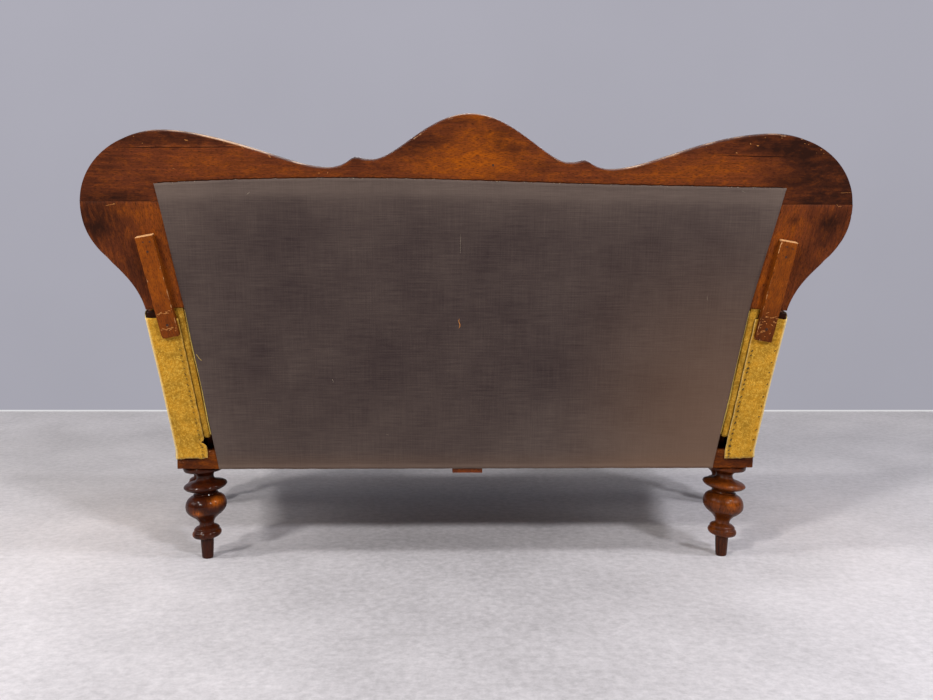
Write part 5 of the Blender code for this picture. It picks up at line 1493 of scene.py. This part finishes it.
class SOFA_OT_battens(bpy.types.Operator):
    """Draw the two battens over the joint of wing and arm, with their screws and nails"""

    bl_idname = "sofa.battens"
    bl_label = "Battens"

    def execute(self, context):
        for side, word in SIDES:
            lean = BATTEN_LEAN[word]
            run = Vector((side * sin(lean), cos(lean)))
            across = Vector((cos(lean), -side * sin(lean)))
            middle = Vector((side * BATTEN_X, BATTEN_S + side * BATTEN_SLIP))

            def spot(a, b, n, middle=middle, run=run, across=across):
                at = middle + across * a + run * b
                return on_back(at.x, at.y, n)

            self.strip(side, word, spot, across, middle)
            self.screws(word, spot)
            self.nails(side, word, spot)
        return {"FINISHED"}

    def strip(self, side, word, spot, across, middle):
        """The strip of wood, bare at its upper end and worn along its inner edge."""
        a, b = BATTEN_WIDTH / 2, BATTEN_LENGTH / 2
        bar = Shape()
        bar.bar([
            spot(u * a, v * b, n)
            for n in (BATTEN_FACE, -GAP) for u, v in ((-1, -1), (1, -1), (1, 1), (-1, 1))
        ], 0.0013, 0.0022, 5.0 + side)
        inwards = -side * across.dot(middle)
        for number, point in enumerate(bar.points):
            along = bar.grain[number][0]
            flat = Vector((point[0], (point[2] - FRAME_BOTTOM) / cos(RAKE)))
            off = -side * flat.dot(across) - inwards
            if along > b - 0.0006:
                bar.marks["worn"][number] = 0.95
            elif off > a - 0.0016:
                bar.marks["worn"][number] *= 3.4
            soiled = 0.3 * max(wobble(along * 30, bar.grain[number][1] * 60, side), 0)
            if side < 0:
                soiled += 0.45 * smooth(-0.052, -0.060, along) + 0.13
            bar.mark(number, stain=soiled, glow=0.5 * smooth(-0.06, 0.0, along))
        bar.make(f"batten_{word}", ["batten"], [f"back_batten_{word}"], "batten_wood", 50)

    def screws(self, word, spot):
        """The two screw heads, set a little below the face."""
        metal = Shape()
        for b, r in ((-BATTEN_LENGTH / 2 + 0.028, 0.0032), (BATTEN_LENGTH / 2 - 0.034, 0.0026)):
            head = [(0, -0.0012), (0.0008, -0.0012), (0.0009, 0.0003), (0.8 * r, 0.0004), (r, -0.0002),
                    (r, -0.002)]
            to = Matrix.Translation(spot(0.0, b, BATTEN_FACE)) @ Matrix.Rotation(-pi / 2 - RAKE, 4, "X")
            metal.turned(head, to, 20)
        metal.make(
            f"batten_screws_{word}", ["iron"],
            [f"batten_screw_lower_{word}", f"batten_screw_upper_{word}"], "spring_steel")

    def nails(self, side, word, spot):
        """Two nails near the upper end, and the pale chips round the lower one."""
        bits = Shape()
        dice = random.Random(60 + side)
        for a, b in ((-0.010, BATTEN_LENGTH / 2 - 0.014), (0.004, BATTEN_LENGTH / 2 - 0.012)):
            bits.tube([spot(a, b, BATTEN_FACE + 0.0002), spot(a, b, BATTEN_FACE - 0.0007)], 0.0015, 8, 1)
        for _ in range(26):
            a = dice.uniform(-0.017, 0.017)
            level = dice.choice((0.020, 0.056) if side > 0 else (0.020, 0.056, 0.038))
            b = -BATTEN_LENGTH / 2 + level + dice.gauss(0.0, 0.0022 if side > 0 else 0.007)
            turn = dice.uniform(-0.7, 0.7)
            size = dice.uniform(0.0014, 0.0042)
            thin = dice.uniform(0.0005, 0.0011)
            bits.tube([
                spot(a + size * cos(turn) * t, b + size * sin(turn) * t, BATTEN_FACE - 0.0003)
                for t in (-1.0, -0.3, 0.4, 1.0)
            ], tapered(thin, 0.4, 2.2), 5)
        bits.make(f"batten_nails_{word}", ["chip", "iron"], (), "spring_steel")


# Pads

def copy_solid(name, grow):
    """A loose copy of a frame solid, moved out along its normals."""
    mesh = NODES[name].data.copy()
    shell = bmesh.new()
    shell.from_mesh(mesh)
    bmesh.ops.remove_doubles(shell, verts=shell.verts, dist=0.00002)
    bmesh.ops.recalc_face_normals(shell, faces=shell.faces)
    shell.normal_update()
    for vertex in shell.verts:
        vertex.co += vertex.normal * grow
    shell.to_mesh(mesh)
    shell.free()
    mesh.materials.clear()
    return mesh


def evaluated(piece):
    """The mesh that a piece's modifiers give."""
    bpy.context.view_layer.update()
    graph = bpy.context.evaluated_depsgraph_get()
    return bpy.data.meshes.new_from_object(piece.evaluated_get(graph))


def stuffed(name, solid, voxel, swell, held, replaces):
    """A velvet pad: a frame solid remeshed, softened and blown up by cloth pressure.

    held tells how firmly a point is held to the frame, from 0, free, to 1, fixed.
    """
    scene = bpy.context.scene
    loose = bpy.data.objects.new(name, copy_solid(solid, 0.0016))
    scene.collection.objects.link(loose)
    remesh = loose.modifiers.new("Remesh", "REMESH")
    remesh.mode = "VOXEL"
    remesh.voxel_size = voxel
    round_off = loose.modifiers.new("Soften", "SMOOTH")
    round_off.factor = 0.5
    round_off.iterations = 6
    loose.data = evaluated(loose)
    loose.modifiers.clear()
    start = np.array([v.co for v in loose.data.vertices])
    grip = np.array([held(Vector(p)) for p in start])
    group = loose.vertex_groups.new(name="held")
    for number, amount in enumerate(grip):
        group.add([number], float(amount), "REPLACE")
    cloth = loose.modifiers.new("Cloth", "CLOTH")
    setting = cloth.settings
    setting.quality = 4
    setting.mass = 0.25
    setting.tension_stiffness = 12
    setting.compression_stiffness = 12
    setting.shear_stiffness = 6
    setting.bending_stiffness = 1.0
    setting.use_pressure = True
    setting.uniform_pressure_force = 4
    setting.vertex_group_mass = "held"
    setting.effector_weights.gravity = 0
    cloth.point_cache.frame_start = 1
    cloth.point_cache.frame_end = 20
    for step in range(1, 21):
        scene.frame_set(step)
    blown = evaluated(loose)
    end = np.array([v.co for v in blown.vertices])
    scene.frame_set(1)
    loose.modifiers.clear()
    loose.vertex_groups.clear()
    moved = end - start
    far = np.linalg.norm(moved, axis=1)
    cap = swell * (1 - grip) + 1e-6
    moved *= np.minimum(1, cap / np.maximum(far, 1e-9))[:, None]
    end = start + moved
    loose.data.vertices.foreach_set("co", end.astype(np.float32).ravel())
    loose.data.update()
    even = loose.modifiers.new("Even", "SMOOTH")
    even.factor = 0.5
    even.iterations = 4
    loose.data = evaluated(loose)
    loose.modifiers.clear()
    loose.data.materials.append(finish("velvet"))
    loose.data.shade_smooth()
    scene.collection.objects.unlink(loose)
    return place(loose, replaces, "yellow_velvet")


class SOFA_OT_pads(bpy.types.Operator):
    """Stuff the seat, the back and the arms, and lay the gimp beside the show wood"""

    bl_idname = "sofa.pads"
    bl_label = "Seat, back and arm pads"

    def execute(self, context):
        o = context.scene.sofa_outline
        soft = context.scene.sofa_soft
        seat_low, seat_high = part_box("seat_stuffing")

        def seat_held(p):
            side = abs(p.x) / (seat_high.x - (p.y - seat_low.y) * 0.18)
            return max(1 - smooth(seat_low.z + 0.006, seat_low.z + 0.030, p.z),
                       0.75 * smooth(0.93, 0.99, side), 0.75 * smooth(seat_high.y - 0.03, seat_high.y, p.y))

        seat = stuffed("seat_pad", "seat_stuffing", soft.voxel, soft.swell, seat_held,
                       ["seat_cover", "seat_stuffing"])

        def back_held(p):
            n = (rear_y(p.z) - p.y) * cos(RAKE)
            low = smooth(0.42, 0.36, (p.z - FRAME_BOTTOM) / cos(RAKE)) * 0.6
            return max(1 - smooth(0.040, 0.062, n), low)

        back = stuffed("back_pad", "back_stuffing", soft.voxel, soft.swell, back_held,
                       ["back_cover", "back_stuffing", "back_hessian", "back_webbing"])
        for side, word in SIDES:
            def arm_held(p, side=side):
                spot = arm_point(POST_INNER - 0.0018, p.y, p.z).x
                wall = 1 - smooth(0.003, 0.014, spot - side * p.x)
                if p.z > ARM_TOP + 0.004:
                    wall = 0.0
                foot = 1 - smooth(0.0, 0.03, p.z - DECK - 0.008)
                ends = max(smooth(Y_FRAME_FRONT + 0.020, Y_FRAME_FRONT + 0.004, p.y),
                           smooth(rear_y(p.z, 0.060), rear_y(p.z, 0.044), p.y))
                return max(wall, foot, 0.85 * ends, 0.3)

            arm = stuffed(
                f"arm_pad_{word}", f"arm_stuffing_{word}", soft.voxel, soft.swell, arm_held,
                [f"arm_cover_{word}", f"arm_stuffing_{word}", f"arm_hessian_{word}"])
        gimp = Shape()
        inset = FACE_BAND + 0.001
        inner = mirrored(wing_line(o, inset, o.wing_foot + 0.085) + crest_line(o, inset))
        gimp.tube([on_back(x, s, BOARD + 0.0118) for x, s in inner], soft.gimp, 8)
        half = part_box("front_apron")[1].x - 0.02
        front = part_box("front_apron")[0].y
        gimp.tube([(half * (k / 60 - 1), front + 0.003, DECK + 0.0035) for k in range(121)], soft.gimp, 8)
        gimp.make("gimp_trim", ["cord"], (), "yellow_velvet")
        return {"FINISHED"}


# Webbing, hessian and springs under the seat

SPRING_COLUMNS = (-0.42, -0.14, 0.14, 0.42)
STRAP_HALF = 0.025
STRAP_SECTION = (
    (-1, -0.0008), (-0.5, -0.0010), (0, -0.0010), (0.5, -0.0010), (1, -0.0008),
    (1, 0.0008), (0.5, 0.0010), (0, 0.0010), (-0.5, 0.0010), (-1, 0.0008),
)


def weave(place, crossings, first):
    """How a strap passes the straps that cross it: towards 1 under one, towards -1 over the next."""
    return sum(
        (1 if (first + m) % 2 else -1) * exp(-((place - at) / 0.028) ** 2)
        for m, at in enumerate(crossings))


class SOFA_OT_seat_springs(bpy.types.Operator):
    """Interlace the seat webbing, coil the springs and lay the hessian over them"""

    bl_idname = "sofa.seat_springs"
    bl_label = "Webbing and springs"

    def execute(self, context):
        self.webbing()
        for number in range(1, 9):
            self.spring(number)
        self.hessian()
        return {"FINISHED"}

    def webbing(self):
        """Straps both ways under the seat, woven over and under one another."""
        front, rear = (corner.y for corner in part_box("seat_webbing"))
        edge = SIDE_RAIL_INNER + 0.030
        rows_at = (Y_FRAME_FRONT + 0.183, (Y_BACK - 0.156 + Y_FRAME_FRONT + 0.183) / 2, Y_BACK - 0.156)
        level = FRAME_BOTTOM - 0.0015

        def flared(x, y):
            return x * (edge + (Y_BACK - y) * tan(FLARE)) / edge

        straps = Shape()
        for number, x in enumerate(SPRING_COLUMNS):
            path = []
            for k in range(61):
                y = front + (rear - front) * k / 60
                path.append(Vector((flared(x, y), y, level - 0.0012 * weave(y, rows_at, number))))
            self.strap(straps, path, Vector((1, 0, 0)))
        for number, y in enumerate(rows_at):
            half = edge + (Y_BACK - y) * tan(FLARE)
            crossings = [flared(x, y) for x in SPRING_COLUMNS]
            path = []
            for k in range(121):
                x = half * (k / 60 - 1)
                path.append(Vector((x, y, level - 0.0012 * weave(x, crossings, number + 1))))
            self.strap(straps, path, Vector((0, 1, 0)))
        straps.make("woven_webbing", ["jute"], ["seat_webbing"], "jute")

    def strap(self, straps, path, across):
        """A flat strap along points, as wide as webbing."""
        rows = [
            [straps.add(p + across * (w * STRAP_HALF) + Vector((0, 0, h)), (k * 0.01, w * STRAP_HALF))
             for w, h in STRAP_SECTION]
            for k, p in enumerate(path)
        ]
        straps.skin([row + row[:1] for row in rows])
        straps.face(rows[0])
        straps.face(list(reversed(rows[-1])))

    def spring(self, number):
        """A coil spring with a narrow waist."""
        name = f"seat_spring_{number}"
        low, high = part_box(name)
        centre = (low + high) / 2
        turns, steps = 4.0, 28
        path = []
        for k in range(int(turns * steps) + 1):
            t = k / (turns * steps)
            a = 2 * pi * turns * t
            r = 0.028 + 0.0125 * (2 * t - 1) ** 2
            path.append((centre.x + r * cos(a), centre.y + r * sin(a),
                         low.z + 0.002 + (high.z - low.z - 0.004) * t))
        coil = Shape()
        coil.tube(path, 0.0019)
        coil.make(f"coil_spring_{number}", ["steel"], [name], "spring_steel")

    def hessian(self):
        """The hessian that lies over the springs, tacked to the seat frame."""
        low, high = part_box("seat_hessian")
        cloth = Shape()
        rows = []
        for j in range(31):
            y = low.y + (high.y - low.y) * j / 30
            half = SIDE_RAIL_INNER + 0.0065 + (Y_BACK - y) * tan(FLARE)
            across = [half * (i / 30 - 1) for i in range(61)]
            rows.append([cloth.add((x, y, low.z + 0.0008), (x, y)) for x in across])
        cloth.skin(rows)
        hessian = cloth.make("seat_hessian_cloth", ["hessian"], ["seat_hessian"], "jute", 60)
        thicken(hessian, "Hessian", CLOTH_THICK, 0)


# Stage

# The camera fitted to the photo: its place in metres, its turn, and its focal length in pixels
CAMERA_AT = Vector((0.0853, 2.7930, 0.8061))
CAMERA_YAW = radians(-1.835)
CAMERA_PITCH = radians(6.993)
CAMERA_ROLL = radians(0.270)
FOCAL_PX = 1150
PHOTO_WIDTH_PX = 933
PHOTO_MIDDLE_PX = (466.5, 350)
WALL_FOOT_PX = 411.2
WALL_HALF = 7
LAMPS = (
    ("high_left", (2.7, 1.35, 2.7), (0.5, 0.3), 42, "#fffdf8"),
    ("high_right", (-2.5, 1.35, 2.7), (0.5, 0.3), 36, "#fbfcff"),
    ("key_left", (4.0, 6.0, 4.2), (0.8, 0.6), 306, "#fffdf8"),
    ("key_right", (-3.5, 6.0, 4.2), (0.8, 0.6), 270, "#fbfcff"),
    ("side_left", (4.6, 0.8, 2.4), (2.6, 1.4), 40, "#ffffff"),
    ("side_right", (-4.6, 0.8, 2.4), (2.6, 1.4), 32, "#ffffff"),
    ("front", (0.0, -4.6, 2.6), (3.2, 1.8), 150, "#ffffff"),
)
LAMPS_AIM = Vector((0, 0, 0.5))


def floor_finish(colour):
    """Sealed screed: pale, matt and faintly cloudy, with a soft shine at a low angle, and painted shade
    round the sofa and behind it.
    """
    f = Finish("sealed_screed")
    spot = f.node("TexCoord", out="Object")
    cloud = f.node("TexNoise", {
        "Vector": spot, "Scale": 1000 / SCREED_CLOUD_MM, "Detail": 6, "Roughness": 0.6})
    grit = f.node("TexNoise", {
        "Vector": spot, "Scale": 1000 / SCREED_GRIT_MM, "Detail": 5, "Roughness": 0.75})
    both = f.node("Math", {0: grit, 1: 1.6, 2: cloud}, operation="MULTIPLY_ADD")
    # Painted shade: the floor is darker near the sofa and paler away from it
    off = f.node("Mapping", {"Vector": spot, "Location": (0, 0.05, 0), "Scale": (1.9, 1, 1)})
    far = f.node("VectorMath", {0: off}, "Value", operation="LENGTH")
    painted_light_away_from_sofa = f.node("MapRange", {0: far, 1: 0.35, 2: 1.8, 3: 0.0, 4: 0.78})
    # Painted shade over the floor behind the sofa, from y = 0.2 m back
    rear = f.node("SeparateXYZ", {0: spot}, "Y")
    painted_shade_behind_sofa = f.node("MapRange", {0: rear, 1: 0.2, 2: 1.0, 3: 0.0, 4: -0.13})
    painted_light_away_from_sofa = f.node("Math", {0: painted_light_away_from_sofa, 1: painted_shade_behind_sofa}, operation="ADD")
    part = f.node("MapRange", {0: both, 1: 0.9, 2: 1.7, 3: -0.45, 4: 0.45}, clamp=False)
    part = f.node("Math", {0: painted_light_away_from_sofa, 1: part}, operation="ADD")
    bright = (*(1.6 * v for v in colour), 1)
    return f.finished({
        "Base Color": f.node("Mix", {0: part, 6: (*colour, 1), 7: bright}, **OPEN_MIX),
        "Roughness": 0.5,
        "Specular IOR Level": 0.25,
    })


def wall_finish(colour):
    """A painted wall, seen from in front only, that glows with painted light: a little darker low down and
    towards -x, with a faint mottle.
    """
    f = Finish("painted_wall")
    f.tree.nodes.remove(f.shader)
    spot = f.node("TexCoord", out="Object")
    cloud = f.node("TexNoise", {
        "Vector": spot, "Scale": 1000 / WALL_CLOUD_MM, "Detail": 4, "Roughness": 0.55})
    across, height = (f.node("SeparateXYZ", {0: spot}, axis) for axis in "XZ")
    # Painted light: the backdrop's glow is darker low down and towards -x
    lift = f.node("MapRange", {0: height, 1: 0.0, 2: 2.2, 3: 0.90, 4: 1.02})
    drift = f.node("MapRange", {0: across, 1: -3.0, 2: 3.0, 3: 0.955, 4: 1.02})
    level = f.node("Math", {0: lift, 1: drift}, operation="MULTIPLY")
    mottle = f.node("MapRange", {0: cloud, 1: 0.3, 2: 0.7, 3: 0.98, 4: 1.02})
    level = f.node("Math", {0: level, 1: mottle}, operation="MULTIPLY")
    glow = f.node("Emission", {"Color": (*colour, 1), "Strength": level})
    to_eye, glossy, through = (
        f.node("LightPath", out=f"Is {kind} Ray") for kind in ("Camera", "Glossy", "Transmission"))
    seen = f.node("Math", {0: to_eye, 1: glossy}, operation="ADD")
    seen = f.node("Math", {0: seen, 1: through}, operation="ADD", use_clamp=True)
    away = f.node("NewGeometry", out="Backfacing")
    front = f.node("Math", {0: seen, 1: away}, operation="SUBTRACT", use_clamp=True)
    both = f.node("MixShader", {0: front, 1: f.node("BsdfTransparent"), 2: glow})
    f.tree.links.new(both, f.tree.nodes["Material Output"].inputs["Surface"])
    return f.material


class SOFA_OT_stage(bpy.types.Operator):
    """Set the camera, the soft lamps, the floor and the backdrop"""

    bl_idname = "sofa.stage"
    bl_label = "Stage"

    def execute(self, context):
        scene = context.scene
        colours = scene.sofa_colours
        scene.view_settings.view_transform = "Standard"
        ahead = Vector((
            sin(CAMERA_YAW) * cos(CAMERA_PITCH), -cos(CAMERA_YAW) * cos(CAMERA_PITCH), -sin(CAMERA_PITCH)))
        right = Vector((-cos(CAMERA_YAW), -sin(CAMERA_YAW), 0))
        up = right.cross(ahead)
        level_right = right
        right = level_right * cos(CAMERA_ROLL) + up * sin(CAMERA_ROLL)
        up = up * cos(CAMERA_ROLL) - level_right * sin(CAMERA_ROLL)
        lens = bpy.data.cameras.new("camera")
        lens.sensor_width = 36
        lens.lens = lens.sensor_width * FOCAL_PX / PHOTO_WIDTH_PX
        camera = bpy.data.objects.new("camera", lens)
        turn = Matrix((right, up, -ahead)).transposed()
        camera.matrix_world = Matrix.Translation(CAMERA_AT) @ turn.to_4x4()
        scene.collection.objects.link(camera)
        scene.camera = camera

        def on_floor(px, py):
            across = (px - PHOTO_MIDDLE_PX[0]) / FOCAL_PX
            rise = (PHOTO_MIDDLE_PX[1] - py) / FOCAL_PX
            ray = ahead + right * across + up * rise
            return CAMERA_AT + ray * (-CAMERA_AT.z / ray.z)

        a, b = (on_floor(px, WALL_FOOT_PX) for px in (0, PHOTO_WIDTH_PX))
        along = (b - a).normalized()
        middle = (a + b) / 2
        floor = self.panel(
            "floor", [(-9, -9, 0), (9, -9, 0), (9, 9, 0), (-9, 9, 0)], floor_finish(colours.floor))
        for name, nearer, height, colour in (
            ("wall", 0.0, 6.0, colours.wall), ("wall_foot", 0.004, 0.006, linear("#e9e8ea")),
        ):
            foot = [middle + along * reach + Vector((0, nearer, 0)) for reach in (-WALL_HALF, WALL_HALF)]
            head = [corner + Vector((0, 0, height)) for corner in reversed(foot)]
            backdrop = self.panel(name, foot + head, wall_finish(colour))
            backdrop.visible_shadow = False
            backdrop.visible_diffuse = False
        for name, where, size, power, colour in LAMPS:
            lamp = bpy.data.lights.new(name, "AREA")
            lamp.shape = "RECTANGLE"
            lamp.size, lamp.size_y = size
            lamp.energy = power
            lamp.color = linear(colour)
            shown = bpy.data.objects.new(name, lamp)
            shown.location = where
            shown.rotation_euler = (LAMPS_AIM - Vector(where)).to_track_quat("-Z", "Y").to_euler()
            scene.collection.objects.link(shown)
            if name == "front":
                # It brightens the sofa's face alone, so that the floor keeps the shadow of the keys
                apart = bpy.data.collections.new("unlit_by_front")
                apart.objects.link(floor)
                apart.collection_objects[0].light_linking.link_state = "EXCLUDE"
                shown.light_linking.receiver_collection = apart
        world = bpy.data.worlds.new("studio")
        scene.world = world
        world.use_nodes = True
        world.node_tree.nodes["Background"].inputs["Color"].default_value = (0.029, 0.029, 0.031, 1)
        return {"FINISHED"}

    def panel(self, name, corners, material):
        mesh = bpy.data.meshes.new(name)
        mesh.from_pydata([tuple(c) for c in corners], [], [(0, 1, 2, 3)])
        if name != "floor" and mesh.polygons[0].normal.y < 0:
            mesh.flip_normals()
        mesh.materials.append(material)
        made = bpy.data.objects.new(name, mesh)
        bpy.context.scene.collection.objects.link(made)
        return made


class SOFA_PT_panel(bpy.types.Panel):
    """Sofa pieces, in the sidebar"""

    bl_idname = "SOFA_PT_panel"
    bl_label = "Rococo Revival Sofa"
    bl_space_type = "VIEW_3D"
    bl_region_type = "UI"
    bl_category = "Sofa"

    def draw(self, context):
        for operator in OPERATORS:
            self.layout.operator(operator.bl_idname)
        for group in (context.scene.sofa_outline, context.scene.sofa_soft, context.scene.sofa_colours):
            box = self.layout.box()
            for name in group.__annotations__:
                box.prop(group, name)


OPERATORS = (
    SOFA_OT_stage, SOFA_OT_back_boards, SOFA_OT_board_marks, SOFA_OT_face_band, SOFA_OT_legs,
    SOFA_OT_seat_frame, SOFA_OT_back_cloth, SOFA_OT_outside_arms, SOFA_OT_battens, SOFA_OT_pads,
    SOFA_OT_seat_springs,
)
CLASSES = (SofaOutline, SofaSoft, SofaColours, *OPERATORS, SOFA_PT_panel)


def register():
    for made in CLASSES:
        bpy.utils.register_class(made)
    bpy.types.Scene.sofa_outline = PointerProperty(type=SofaOutline)
    bpy.types.Scene.sofa_soft = PointerProperty(type=SofaSoft)
    bpy.types.Scene.sofa_colours = PointerProperty(type=SofaColours)


def unregister():
    del bpy.types.Scene.sofa_outline, bpy.types.Scene.sofa_soft, bpy.types.Scene.sofa_colours
    for made in reversed(CLASSES):
        bpy.utils.unregister_class(made)


def main():
    register()
    for operator in OPERATORS:
        group, name = operator.bl_idname.split(".")
        getattr(getattr(bpy.ops, group), name)()


if __name__ == "__main__":
    main()
